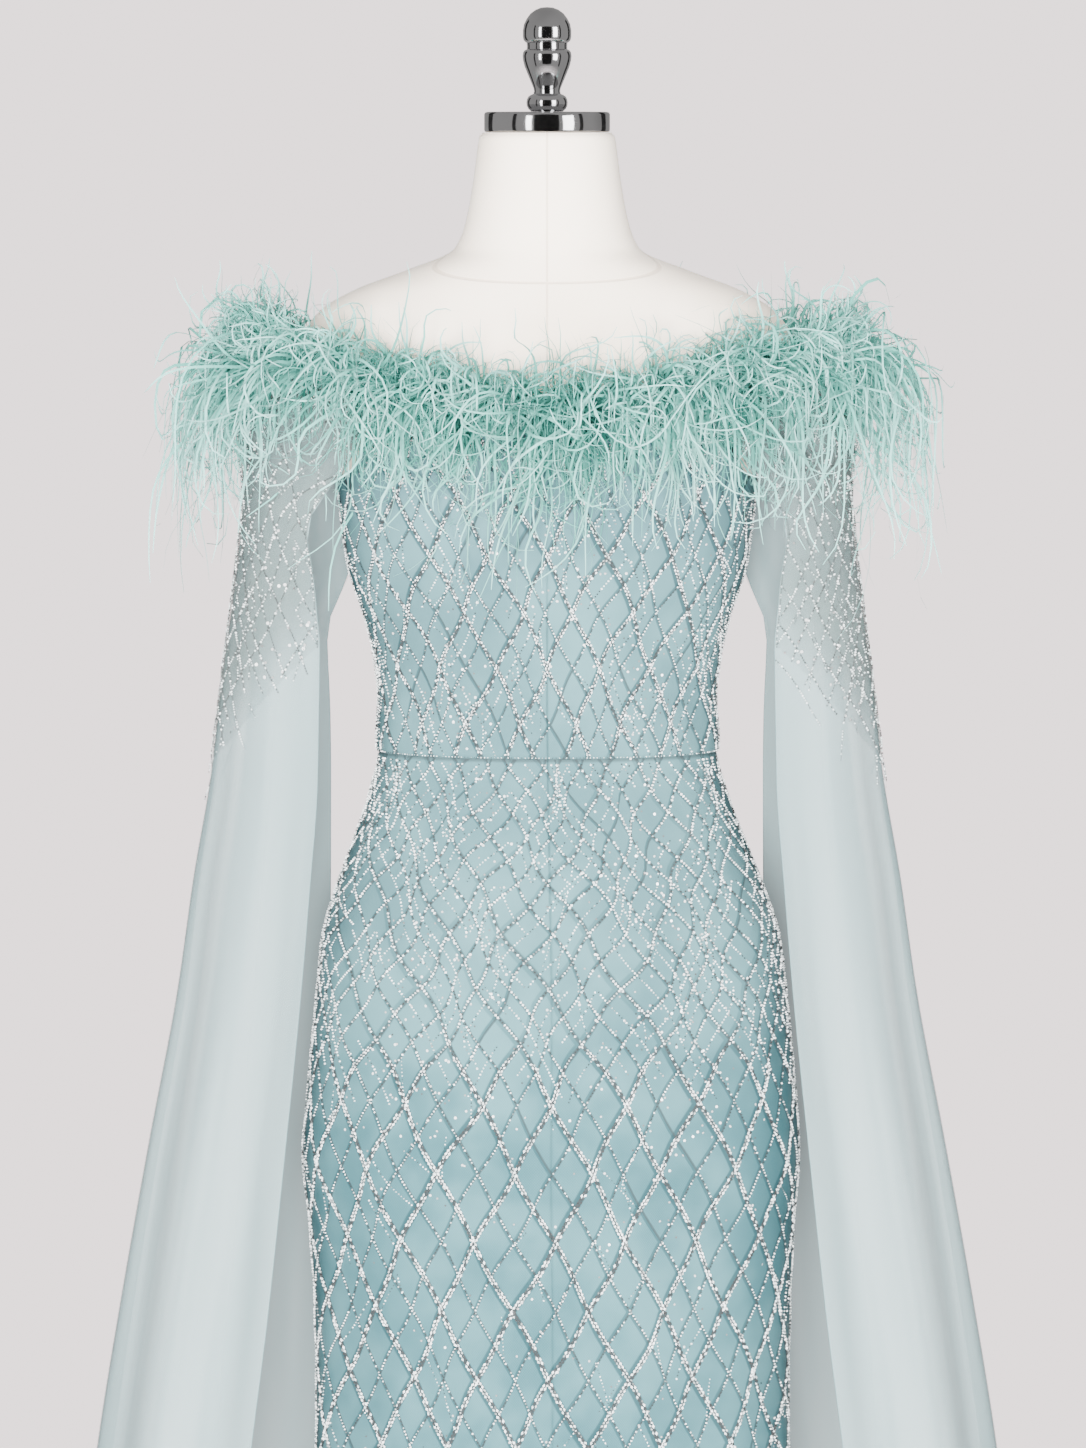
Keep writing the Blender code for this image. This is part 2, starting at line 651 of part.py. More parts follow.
def main():
    for old in list(bpy.data.objects):
        bpy.data.objects.remove(old, do_unlink=True)
    collection = bpy.data.collections.new(COLLECTION)
    bpy.context.scene.collection.children.link(collection)

    add_torso()
    add_turned("neck_cap", CAP_PROFILE, "chrome", BROAD_TURNED_SIDES)
    add_turned("finial", FINIAL_PROFILE, "chrome")
    add_stand()

    quarters = (("front_left", 0), ("back_left", 1), ("back_right", 2), ("front_right", 3))
    for place, quarter in quarters:
        start = quarter * QUARTER
        for part, rows in (("bodice", bodice_rows), ("skirt", skirt_rows)):
            add_panel(f"{part}_{place}", rows(start, EASE + NET_WALL), rows(start, EASE))
    add_sleeves()

    chance = random.Random(SEED)
    add_feathers("feather_front", -SHOULDER_FROM, SHOULDER_FROM, chance)
    add_feathers("feather_left", SHOULDER_FROM, SHOULDER_TO, chance)
    add_feathers("feather_back", SHOULDER_TO, 2 * math.pi - SHOULDER_TO, chance)
    add_feathers("feather_right", 2 * math.pi - SHOULDER_TO, 2 * math.pi - SHOULDER_FROM, chance)


main()
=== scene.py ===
"""Off-shoulder evening gown on a limbless dress form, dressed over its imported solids.

Metres, +Z up. The front faces -Y, and left and right are the wearer's. A turn is an angle round
the figure, from 0 at the centre front, through a quarter turn at the left side, to half a turn at
the centre back. Every piece is made in place, on an object at the origin.
"""

import math
from collections import namedtuple

import bmesh
import bpy
import numpy as np
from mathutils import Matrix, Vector


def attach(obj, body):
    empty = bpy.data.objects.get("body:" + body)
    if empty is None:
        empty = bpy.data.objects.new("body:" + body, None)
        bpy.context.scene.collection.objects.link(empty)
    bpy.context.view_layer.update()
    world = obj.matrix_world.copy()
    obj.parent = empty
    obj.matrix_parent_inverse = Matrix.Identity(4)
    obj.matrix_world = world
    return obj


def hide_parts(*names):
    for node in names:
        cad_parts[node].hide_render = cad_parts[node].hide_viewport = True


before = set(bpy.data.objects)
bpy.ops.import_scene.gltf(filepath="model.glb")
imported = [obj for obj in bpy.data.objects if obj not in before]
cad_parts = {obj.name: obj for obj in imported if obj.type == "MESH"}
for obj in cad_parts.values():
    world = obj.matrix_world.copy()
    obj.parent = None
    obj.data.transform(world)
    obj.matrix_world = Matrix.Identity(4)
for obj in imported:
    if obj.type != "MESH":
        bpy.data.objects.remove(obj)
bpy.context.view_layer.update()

bl_info = {
    "name": "Off-shoulder evening gown",
    "version": (1, 0, 0),
    "blender": (4, 5, 0),
    "location": "3D View > Sidebar > Gown",
    "description": "Makes a beaded gown with cape sleeves and a feather trim on a dress form",
    "category": "Object",
}

# The line of the figure, as in the part's own source
QUARTER = math.pi / 2
GAP = 0.0003
NET_WALL = 0.0015
CHIFFON_WALL = 0.0010
EASE = 0.0009
TOP_EASE = 0.0008
TOP_EASE_RISE = 0.0500
BINDING_EASE = 0.0008
FORM_BOTTOM = 0.7566
FORM_TOP = 1.5110
BODICE_HEM = 1.0560
SKIRT_TOP = 1.0660
SKIRT_HEM = 0.0150
SLEEVE_HEM = 0.0600
HEM_LIFT_START = 1.0948
UNDERARM = 1.2600
BODICE_ABOVE_BINDING = 0.0040
SQUARENESS = 2.2
LEVEL_ROWS_TOP = 1.2376

# Height, half width, depth in front, depth behind, sideways sway
FIGURE = np.array(
    (
        (0.0150, 0.2030, 0.1780, 0.1860, 0.0030),
        (0.1000, 0.1965, 0.1690, 0.1770, 0.0030),
        (0.2100, 0.1885, 0.1580, 0.1665, 0.0030),
        (0.3300, 0.1810, 0.1470, 0.1555, 0.0032),
        (0.4500, 0.1752, 0.1370, 0.1450, 0.0036),
        (0.5672, 0.1730, 0.1280, 0.1360, 0.0040),
        (0.6456, 0.1742, 0.1230, 0.1310, 0.0040),
        (0.7070, 0.1777, 0.1195, 0.1290, 0.0034),
        (0.7566, 0.1815, 0.1170, 0.1280, 0.0028),
        (0.8084, 0.1780, 0.1160, 0.1280, 0.0034),
        (0.8646, 0.1725, 0.1140, 0.1260, 0.0034),
        (0.9179, 0.1665, 0.1110, 0.1210, 0.0028),
        (0.9483, 0.1577, 0.1085, 0.1160, 0.0022),
        (0.9853, 0.1437, 0.1035, 0.1075, 0.0016),
        (1.0223, 0.1302, 0.0965, 0.0970, 0.0008),
        (1.0560, 0.1222, 0.0905, 0.0880, 0.0004),
        (1.0948, 0.1224, 0.0890, 0.0840, 0.0000),
        (1.1280, 0.1262, 0.0935, 0.0850, 0.0000),
        (1.1540, 0.1322, 0.1000, 0.0870, 0.0000),
        (1.1747, 0.1392, 0.1070, 0.0890, 0.0000),
        (1.1954, 0.1452, 0.1140, 0.0920, 0.0000),
        (1.2376, 0.1505, 0.1220, 0.0970, 0.0000),
        (1.2700, 0.1540, 0.1195, 0.1000, 0.0000),
        (1.3000, 0.1620, 0.1120, 0.1015, 0.0000),
        (1.3150, 0.1678, 0.1072, 0.1006, 0.0000),
        (1.3300, 0.1740, 0.1020, 0.0990, 0.0000),
        (1.3500, 0.1798, 0.0935, 0.0945, 0.0000),
        (1.3660, 0.1775, 0.0850, 0.0885, 0.0000),
        (1.3810, 0.1665, 0.0765, 0.0815, 0.0000),
        (1.3960, 0.1410, 0.0690, 0.0745, 0.0000),
        (1.4100, 0.1040, 0.0630, 0.0685, 0.0000),
        (1.4256, 0.0685, 0.0585, 0.0625, 0.0000),
        (1.4448, 0.0602, 0.0560, 0.0585, 0.0000),
        (1.4750, 0.0545, 0.0530, 0.0540, 0.0000),
        (1.5000, 0.0512, 0.0505, 0.0505, 0.0000),
        (1.5080, 0.0500, 0.0495, 0.0495, 0.0000),
        (1.5110, 0.0475, 0.0470, 0.0470, 0.0000),
    )
)
HALF_WIDTH, FRONT_DEPTH, BACK_DEPTH, SWAY = 1, 2, 3, 4

# Height, front edge, outer fold, back edge, depth in front, depth behind, fold height
CAPE = np.array(
    (
        (0.0600, 0.2650, 0.3880, 0.1860, 0.1480, 0.1650, 0.0085),
        (0.3000, 0.2400, 0.3620, 0.1760, 0.1340, 0.1480, 0.0075),
        (0.5420, 0.2120, 0.3310, 0.1660, 0.1180, 0.1300, 0.0060),
        (0.6456, 0.1990, 0.3145, 0.1620, 0.1100, 0.1200, 0.0052),
        (0.7625, 0.1870, 0.2940, 0.1600, 0.1000, 0.1080, 0.0043),
        (0.8760, 0.1760, 0.2730, 0.1590, 0.0880, 0.0940, 0.0034),
        (0.9630, 0.1690, 0.2610, 0.1580, 0.0780, 0.0820, 0.0026),
        (1.0350, 0.1640, 0.2490, 0.1580, 0.0700, 0.0720, 0.0018),
        (1.0760, 0.1635, 0.2440, 0.1585, 0.0660, 0.0680, 0.0014),
        (1.1400, 0.1630, 0.2360, 0.1610, 0.0610, 0.0630, 0.0008),
        (1.1590, 0.1650, 0.2335, 0.1550, 0.0600, 0.0620, 0.0006),
        (1.1850, 0.1675, 0.2300, 0.1435, 0.0600, 0.0620, 0.0004),
        (1.2290, 0.1740, 0.2250, 0.1400, 0.0630, 0.0640, 0.0002),
        (1.2750, 0.1600, 0.2200, 0.1380, 0.0690, 0.0680, 0.0000),
        (1.3600, 0.1300, 0.2170, 0.1300, 0.0740, 0.0720, 0.0000),
    )
)
FRONT_EDGE, OUTER, BACK_EDGE, CAPE_FRONT, CAPE_BACK, FOLD = 1, 2, 3, 4, 5, 6
CAPE_HEAD_DROP = 0.11
CAPE_FRONT_TURN = math.radians(40)
CAPE_BACK_TURN = math.radians(140)
FOLD_COUNT = 5.5
NET_EDGE_SIDE = 1.1385
NET_EDGE_OUTER = 1.0480
ALONG_STEP = 0.01

BINDING_HEIGHT = 0.0200
BINDING_THICKNESS = 0.0040
BINDING_FRONT = 1.3090
BINDING_SIDE = 1.3550
BINDING_BACK = 1.3300
BINDING_HALF_WIDTH = 0.2195
BINDING_DEPTH = 0.1120
BINDING_SPREAD = 0.25
LEAVES_BODY = math.radians(25)
FREE_OF_BODY = math.radians(60)
ARMHOLE_TURN = math.radians(72)
SHOULDER_FROM = math.radians(50)
SHOULDER_TO = math.radians(130)

# Turned pieces: (radius, height) down the outer side
CAP_PROFILE = (
    (0.0000, 1.5263),
    (0.0440, 1.5263),
    (0.0456, 1.5258),
    (0.0463, 1.5245),
    (0.0463, 1.5131),
    (0.0460, 1.5119),
    (0.0448, 1.5113),
    (0.0000, 1.5113),
)
FINIAL_PROFILE = (
    (0.0000, 1.6030),
    (0.0045, 1.6026),
    (0.0085, 1.6010),
    (0.0122, 1.5983),
    (0.0150, 1.5945),
    (0.0170, 1.5905),
    (0.0178, 1.5860),
    (0.0178, 1.5815),
    (0.0174, 1.5790),
    (0.0162, 1.5775),
    (0.0150, 1.5768),
    (0.0148, 1.5745),
    (0.0149, 1.5722),
    (0.0164, 1.5715),
    (0.0176, 1.5700),
    (0.0180, 1.5672),
    (0.0177, 1.5640),
    (0.0166, 1.5596),
    (0.0150, 1.5556),
    (0.0130, 1.5508),
    (0.0112, 1.5465),
    (0.0100, 1.5435),
    (0.0096, 1.5415),
    (0.0100, 1.5396),
    (0.0122, 1.5386),
    (0.0138, 1.5375),
    (0.0148, 1.5355),
    (0.0152, 1.5330),
    (0.0149, 1.5306),
    (0.0138, 1.5284),
    (0.0122, 1.5270),
    (0.0118, 1.5266),
    (0.0000, 1.5266),
)
BASE_PROFILE = (
    (0.0000, 0.0220),
    (0.0210, 0.0220),
    (0.0224, 0.0216),
    (0.0240, 0.0206),
    (0.0300, 0.0180),
    (0.0700, 0.0162),
    (0.1300, 0.0140),
    (0.1420, 0.0122),
    (0.1485, 0.0098),
    (0.1500, 0.0080),
    (0.1500, 0.0004),
    (0.1496, 0.0000),
    (0.0000, 0.0000),
)
POLE_PROFILE = (
    (0.0000, 0.7563),
    (0.0122, 0.7563),
    (0.0125, 0.7560),
    (0.0125, 0.0226),
    (0.0122, 0.0223),
    (0.0000, 0.0223),
)
TURNED_SIDES = 64

# Flat sizes of the cloth: width, length, area
CUTS = {
    "bodice_front": (0.240, 0.270, 0.0498),
    "bodice_back": (0.220, 0.285, 0.0491),
    "skirt_front": (0.310, 1.060, 0.2690),
    "skirt_back": (0.315, 1.060, 0.2762),
    "sleeve": (0.560, 1.320, 0.4850),
    "sleeve_net": (0.310, 0.320, 0.0604),
}

# The photo's frame
VIEW_HEIGHT = 1.0715
VIEW_TARGET = (-0.003, 0.0, 1.0748)
VIEW_DISTANCE = 5.5
VIEW_ELEVATION = math.radians(4.4)
SENSOR = 36.0

# Shapes


def smooth_step(value):
    value = np.clip(value, 0.0, 1.0)
    return value * value * (3 - 2 * value)


def read(table, place, column):
    """A table column's values at places along its first column, without overshoot."""
    places, values = table[:, 0], table[:, column]
    steps = np.diff(values) / np.diff(places)
    before, after = steps[:-1], steps[1:]
    slopes = np.zeros(len(places))
    rising = before * after > 0
    slopes[1:-1][rising] = (2 * before * after)[rising] / (before + after)[rising]
    place = np.clip(place, places[0], places[-1])
    low = np.clip(np.searchsorted(places, place, side="right") - 1, 0, len(places) - 2)
    span = places[low + 1] - places[low]
    s = (place - places[low]) / span
    leave = s * (1 - s) ** 2 * span * slopes[low]
    arrive = s * s * (s - 1) * span * slopes[low + 1]
    return values[low] + smooth_step(s) * (values[low + 1] - values[low]) + leave + arrive


def fuller(value):
    return np.sign(value) * np.abs(value) ** (2 / SQUARENESS)


def figure_points(height, turn, outset):
    """Points on the figure's line, moved outwards by outset."""
    height, turn, outset = np.broadcast_arrays(height, turn, outset)
    ahead = np.cos(turn)
    depth = np.where(
        ahead > 0, read(FIGURE, height, FRONT_DEPTH), read(FIGURE, height, BACK_DEPTH)
    )
    width = read(FIGURE, height, HALF_WIDTH)
    x = (width + outset) * fuller(np.sin(turn)) + read(FIGURE, height, SWAY)
    return np.stack((x, -(depth + outset) * fuller(ahead), height), axis=-1)


def turn_from_front(turn):
    return np.abs((turn + math.pi) % (2 * math.pi) - math.pi)


def turn_from_middle(turn):
    """How far a turn is from the nearer of the centre front and the centre back."""
    from_front = turn_from_front(turn)
    return np.minimum(from_front, math.pi - from_front)


def binding_height(turn):
    middle = np.where(np.cos(turn) > 0, BINDING_FRONT, BINDING_BACK)
    return middle + (BINDING_SIDE - middle) * np.abs(np.sin(turn)) ** 1.6


def binding_points(turn, drop, outset):
    """Points on the feather binding: on the bodice at front and back, round the arms beside it."""
    height = binding_height(turn) - drop
    free = smooth_step((turn_from_middle(turn) - LEAVES_BODY) / (FREE_OF_BODY - LEAVES_BODY))
    off_form = EASE + NET_WALL + TOP_EASE + BINDING_EASE + BINDING_THICKNESS / 2
    on_body = figure_points(height, turn, off_form + outset)
    spread = outset + BINDING_SPREAD * drop
    x = (BINDING_HALF_WIDTH + spread) * np.sin(turn)
    y = -(BINDING_DEPTH + spread) * np.cos(turn)
    around_arm = np.stack(np.broadcast_arrays(x, y, height), axis=-1)
    return on_body + (around_arm - on_body) * np.asarray(free)[..., None]


def bodice_top(turn):
    dip = smooth_step((turn_from_middle(turn) - LEAVES_BODY) / (ARMHOLE_TURN - LEAVES_BODY))
    covered = binding_height(turn) + BODICE_ABOVE_BINDING
    return covered + (UNDERARM - covered) * dip


# Soft creases of the gown: turn in degrees, height, half length, half width, how far the crease
# slants sideways over its length in degrees, and how far it stands out in metres. They are uneven,
# and the back has its own.
GOWN_CREASES = (
    (-34, 1.105, 0.060, 5, 9, 0.0011),
    (28, 1.115, 0.070, 6, -8, 0.0009),
    (-62, 1.085, 0.050, 6, 12, 0.0013),
    (66, 1.090, 0.055, 5, -14, 0.0012),
    (-18, 0.985, 0.090, 7, -6, 0.0012),
    (24, 0.960, 0.110, 8, 7, 0.0014),
    (-58, 0.940, 0.100, 9, -9, 0.0012),
    (58, 0.905, 0.120, 8, 8, 0.0013),
    (-40, 0.640, 0.230, 7, -4, 0.0022),
    (-12, 0.560, 0.260, 8, 3, 0.0019),
    (19, 0.600, 0.240, 7, -3, 0.0024),
    (47, 0.520, 0.260, 9, 5, 0.0028),
    (-71, 0.470, 0.280, 9, 4, 0.0030),
    (76, 0.430, 0.270, 8, -5, 0.0032),
    (-28, 0.240, 0.240, 9, -4, 0.0050),
    (6, 0.200, 0.230, 8, 5, 0.0046),
    (33, 0.180, 0.220, 9, -3, 0.0052),
    (-58, 0.170, 0.220, 9, 5, 0.0056),
    (61, 0.150, 0.210, 8, 4, 0.0054),
    (88, 0.160, 0.240, 9, -4, 0.0058),
    (113, 0.980, 0.100, 8, -8, 0.0013),
    (141, 1.010, 0.090, 7, 6, 0.0015),
    (168, 1.085, 0.060, 6, -7, 0.0010),
    (201, 1.000, 0.100, 8, -5, 0.0014),
    (233, 0.970, 0.110, 8, 8, 0.0012),
    (251, 1.095, 0.050, 6, 10, 0.0011),
    (124, 0.590, 0.260, 8, 4, 0.0026),
    (152, 0.500, 0.280, 9, -5, 0.0034),
    (183, 0.560, 0.260, 8, 3, 0.0029),
    (214, 0.480, 0.290, 9, 5, 0.0036),
    (243, 0.540, 0.250, 8, -4, 0.0027),
    (118, 0.170, 0.230, 9, 5, 0.0056),
    (146, 0.190, 0.240, 8, -5, 0.0050),
    (171, 0.160, 0.230, 9, 4, 0.0058),
    (199, 0.180, 0.230, 8, -4, 0.0052),
    (226, 0.150, 0.220, 9, 5, 0.0057),
    (256, 0.170, 0.240, 9, -5, 0.0054),
)


def gown_creases(height, turn):
    """How far the soft creases stand out at points of the gown."""
    stand_out = np.zeros(np.broadcast(height, turn).shape)
    for centre, middle, half_length, half_width, slant, lift in GOWN_CREASES:
        along = (height - middle) / half_length
        across = np.degrees(turn) - centre - slant * along
        across = (across + 180) % 360 - 180
        stand_out += lift * np.exp(-((across / half_width) ** 2) - along * along * 1.6)
    return stand_out


def bodice_points(height, turn, outset):
    lift = (HEM_LIFT_START - height) / (HEM_LIFT_START - SKIRT_TOP)
    over_skirt = (NET_WALL + GAP) * smooth_step(lift)
    off_chest = TOP_EASE * smooth_step((height - LEVEL_ROWS_TOP) / TOP_EASE_RISE)
    creases = gown_creases(height, turn) * smooth_step((1.20 - height) / 0.06)
    return figure_points(height, turn, outset + over_skirt + off_chest + creases)


def skirt_points(height, turn, outset):
    creases = gown_creases(height, turn) * smooth_step((1.045 - height) / 0.05)
    return figure_points(height, turn, outset + creases)


def directions(surface, height, along, step=0.002):
    """Outward directions of a surface given by height and by turn, or by place along a sleeve."""
    run = surface(height, along + step, 0.0) - surface(height, along - step, 0.0)
    up = surface(height + step, along, 0.0) - surface(height - step, along, 0.0)
    normal = np.cross(run, up)
    return normal / np.maximum(np.linalg.norm(normal, axis=-1, keepdims=True), 1e-12)


def cape_section(height, along):
    angle = math.pi * (along - 0.5)
    front = angle < 0
    inner = np.where(front, read(CAPE, height, FRONT_EDGE), read(CAPE, height, BACK_EDGE))
    depth = np.where(front, read(CAPE, height, CAPE_FRONT), read(CAPE, height, CAPE_BACK))
    x = inner + (read(CAPE, height, OUTER) - inner) * fuller(np.cos(angle))
    return np.stack((x, depth * fuller(np.sin(angle)), height + 0 * along), axis=-1)


def cape_fold(height, along):
    """How far the sleeve's long soft folds stand out. They are uneven and grow towards the hem."""
    uneven = along + 0.035 * np.sin(2 * math.pi * 1.6 * along + 0.8)
    wave = np.sin(2 * math.pi * FOLD_COUNT * uneven + 0.6)
    wave += 0.45 * np.sin(2 * math.pi * 0.57 * FOLD_COUNT * uneven + 2.1)
    return read(CAPE, height, FOLD) * wave


def cape_top(along):
    turn = CAPE_FRONT_TURN + (CAPE_BACK_TURN - CAPE_FRONT_TURN) * along
    return binding_height(turn) - BINDING_HEIGHT / 2 - GAP


def cape_points(height, along, outset):
    """Points on the left sleeve, moved outwards by outset."""
    height, along = np.broadcast_arrays(height, along)
    inside = np.clip(along, ALONG_STEP, 1 - ALONG_STEP)
    turn = CAPE_FRONT_TURN + (CAPE_BACK_TURN - CAPE_FRONT_TURN) * inside
    head = binding_points(turn, binding_height(turn) - height, 0.0)
    fall = smooth_step((cape_top(inside) - height) / CAPE_HEAD_DROP)[..., None]
    run = cape_section(height, inside + ALONG_STEP) - cape_section(height, inside - ALONG_STEP)
    run /= np.linalg.norm(run, axis=-1, keepdims=True)
    outwards = np.stack((run[..., 1], -run[..., 0], 0 * height), axis=-1)
    here = head + (cape_section(height, inside) - head) * fall
    return here + outwards * (cape_fold(height, inside)[..., None] * fall + outset)


def net_edge(along):
    slant = np.sin(math.pi * np.clip(along, 0, 1)) ** 1.2
    return NET_EDGE_SIDE + (NET_EDGE_OUTER - NET_EDGE_SIDE) * slant


# Node trees


class Tree:
    """Adds nodes to a material's or a geometry group's tree."""

    def __init__(self, tree):
        self.tree = tree

    def node(self, kind, settings=None, sockets=None):
        """A node of a kind, with its settings made first and its sockets given or linked next."""
        node = self.tree.nodes.new(kind)
        for key, setting in (settings or {}).items():
            if key == "stops":
                self.set_stops(node.color_ramp, setting)
            else:
                setattr(node, key, setting)
        for key, given in (sockets or {}).items():
            socket = next(s for s in node.inputs if s.enabled and key in (s.name, s.identifier))
            if isinstance(given, Value):
                given = given.socket
            if isinstance(given, bpy.types.NodeSocket):
                self.tree.links.new(given, socket)
            else:
                socket.default_value = given
        return node

    def out(self, kind, settings=None, sockets=None, name=None):
        """The first output in use of a new node, or the one with a name."""
        node = self.node(kind, settings, sockets)
        shown = [s for s in node.outputs if s.enabled and name in (None, s.name, s.identifier)]
        return Value(self, shown[0])

    @staticmethod
    def set_stops(ramp, stops):
        while len(ramp.elements) < len(stops):
            ramp.elements.new(1.0)
        for element, (position, colour) in zip(ramp.elements, stops):
            element.position = position
            element.color = colour

    def mix(self, factor, first, second):
        """A colour between two, by a factor."""
        sockets = {"Factor_Float": factor, "A_Color": first, "B_Color": second}
        return self.out("ShaderNodeMix", {"data_type": "RGBA"}, sockets)

    def vector(self, operation, first, second=None, **sockets):
        given = {"Vector": first, **sockets}
        if second is not None:
            given["Vector_001"] = second
        return self.out("ShaderNodeVectorMath", {"operation": operation}, given)


class Value:
    """A socket in a tree, so that shader and geometry maths reads as an expression."""

    def __init__(self, owner, socket):
        self.owner = owner
        self.socket = socket

    def maths(self, operation, *others):
        sockets = {"Value": self}
        for place, other in enumerate(others, 1):
            sockets[f"Value_00{place}"] = other
        return self.owner.out("ShaderNodeMath", {"operation": operation}, sockets)

    def reflected(self, operation, other):
        sockets = {"Value": other, "Value_001": self}
        return self.owner.out("ShaderNodeMath", {"operation": operation}, sockets)

    def __add__(self, other):
        return self.maths("ADD", other)

    __radd__ = __add__

    def __sub__(self, other):
        return self.maths("SUBTRACT", other)

    def __rsub__(self, other):
        return self.reflected("SUBTRACT", other)

    def __mul__(self, other):
        return self.maths("MULTIPLY", other)

    __rmul__ = __mul__

    def __truediv__(self, other):
        return self.maths("DIVIDE", other)

    def __mod__(self, other):
        return self.maths("FLOORED_MODULO", other)

    def __abs__(self):
        return self.maths("ABSOLUTE")

    def sine(self):
        return self.maths("SINE")

    def least(self, other):
        return self.maths("MINIMUM", other)

    def most(self, other):
        return self.maths("MAXIMUM", other)

    def from_line(self):
        """How far a value is from the nearest whole number."""
        return abs((self + 0.5) % 1.0 - 0.5)

    def between(self, low, high):
        """0 at low and 1 at high, with an even rise between."""
        settings = {"interpolation_type": "SMOOTHSTEP"}
        sockets = {"Value": self, "From Min": low, "From Max": high}
        if low > high:
            sockets = {"Value": self, "From Min": high, "From Max": low}
            return 1 - self.owner.out("ShaderNodeMapRange", settings, sockets)
        return self.owner.out("ShaderNodeMapRange", settings, sockets)


class Finish(Tree):
    """A material under construction."""

    def __init__(self, name):
        self.material = bpy.data.materials.new(name)
        self.material.use_nodes = True
        super().__init__(self.material.node_tree)
        self.shader = self.tree.nodes["Principled BSDF"]
        self.output = self.tree.nodes["Material Output"]

    def place(self):
        return self.out("ShaderNodeTexCoord", name="Object")

    def split(self, vector):
        node = self.node("ShaderNodeSeparateXYZ", sockets={"Vector": vector})
        return [Value(self, socket) for socket in node.outputs]

    def height(self):
        """How high each point is above the floor."""
        return self.split(self.place())[2]

    def map(self, name):
        return self.split(self.out("ShaderNodeUVMap", {"uv_map": name}))[:2]

    def attribute(self, name):
        return self.out("ShaderNodeAttribute", {"attribute_name": name}, name="Fac")

    def noise(self, scale, detail=2.0, roughness=0.5, vector=None):
        sockets = {"Scale": scale, "Detail": detail, "Roughness": roughness}
        sockets["Vector"] = vector or self.place()
        return self.out("ShaderNodeTexNoise", sockets=sockets)

    def surface(self, colour, roughness, bump=None, depth=0.0002, strength=1.0, **fixed):
        """Joins what varies to the shader, and sets what doesn't on its sockets."""
        given = {"Base Color": colour, "Roughness": roughness}
        if bump is not None:
            sockets = {"Height": bump, "Strength": strength, "Distance": depth}
            given["Normal"] = self.out("ShaderNodeBump", sockets=sockets)
        for key, value in {**given, **fixed}.items():
            socket = self.shader.inputs[key]
            if isinstance(value, Value):
                self.tree.links.new(value.socket, socket)
            else:
                socket.default_value = value
        return self.material


WHITE = (1.0, 1.0, 1.0, 1.0)
# What a cloudy patch of the plating reflects
CHROME_CLOUDED = (0.36, 0.36, 0.365, 1.0)
# The brightest beads, with a painted glint
BEADS_GLINT = (0.97, 0.98, 0.98, 1.0)
# Waves of thread in a unit of the cloth map, across and down where the two differ
LINEN_THREADS = 4200.0
CHIFFON_THREADS = 6200.0
GOWN_TULLE = (5200.0, 3000.0)
SLEEVE_TULLE = (4200.0, 2500.0)
TAPE_RIBS = 3600.0
# The form's neck seam: its height at the side, how it rises towards the back, and how far from it
# the seam starts to show and is full. The centre seam has its own two widths.
NECK_SEAM_HEIGHT = 1.4256
NECK_SEAM_RISE = 0.357
NECK_SEAM = (0.0011, 0.0003)
CENTRE_SEAM = (0.0010, 0.0003)


def plain_weave(across, down, threads):
    return (across * threads).sine() * (down * threads).sine() * 0.5


def tulle_weave(across, down, threads, low):
    """The slanted threads of a tulle. They show from low, a share of the thread's height."""
    round_threads, down_threads = threads
    warp = (across * round_threads + down * down_threads).sine()
    weft = (across * round_threads - down * down_threads).sine()
    return warp.most(weft).between(low, 0.98)


def linen_finish(settings):
    """Plain off-white linen drawn tight over the form, with its sewn seams."""
    finish = Finish("form linen")
    x, y, z = finish.split(finish.place())
    across, down = finish.map("cloth")
    slub = finish.noise(90.0, 3.0, 0.6)
    weave = plain_weave(across, down, LINEN_THREADS) + slub
    neck_seam = abs(z - y * NECK_SEAM_RISE - NECK_SEAM_HEIGHT).between(*NECK_SEAM)
    seam = neck_seam.most(abs(x).between(*CENTRE_SEAM))
    mottle = finish.noise(9.0, 3.0, 0.55).between(0.35, 0.7)
    colour = finish.mix(mottle, settings.linen, settings.linen_shaded)
    colour = finish.mix(seam * 0.5, colour, settings.linen_seam)
    height = weave * 0.35 - seam * 2.2
    return finish.surface(
        colour, slub * 0.2 + 0.72, height, 0.00025, 0.6, **{"Sheen Weight": 0.15}
    )


def chrome_finish(name, roughness, colour):
    """Polished plating with faint rubbing marks."""
    finish = Finish(name)
    rubbed = finish.noise(140.0, 4.0, 0.7)
    cloudy = finish.noise(22.0, 2.0, 0.5).between(0.4, 0.75)
    return finish.surface(
        finish.mix(cloudy, colour, CHROME_CLOUDED),
        rubbed * 0.06 + roughness,
        rubbed,
        0.00002,
        0.15,
        Metallic=1.0,
    )


# Where the two rows of the heavy strands run into one
HIP_TOP = 0.845
# How far to one side a strand's shadow falls, in diamonds
SHADE_SHIFT = 0.022
# How far from a strand its thread starts to show and is full, in diamonds, and its shadow too
THREAD = (0.034, 0.020)
SHADOW = (0.074, 0.044)
FINE_THREAD = (0.022, 0.010)
FINE_SHADOW = (0.036, 0.016)


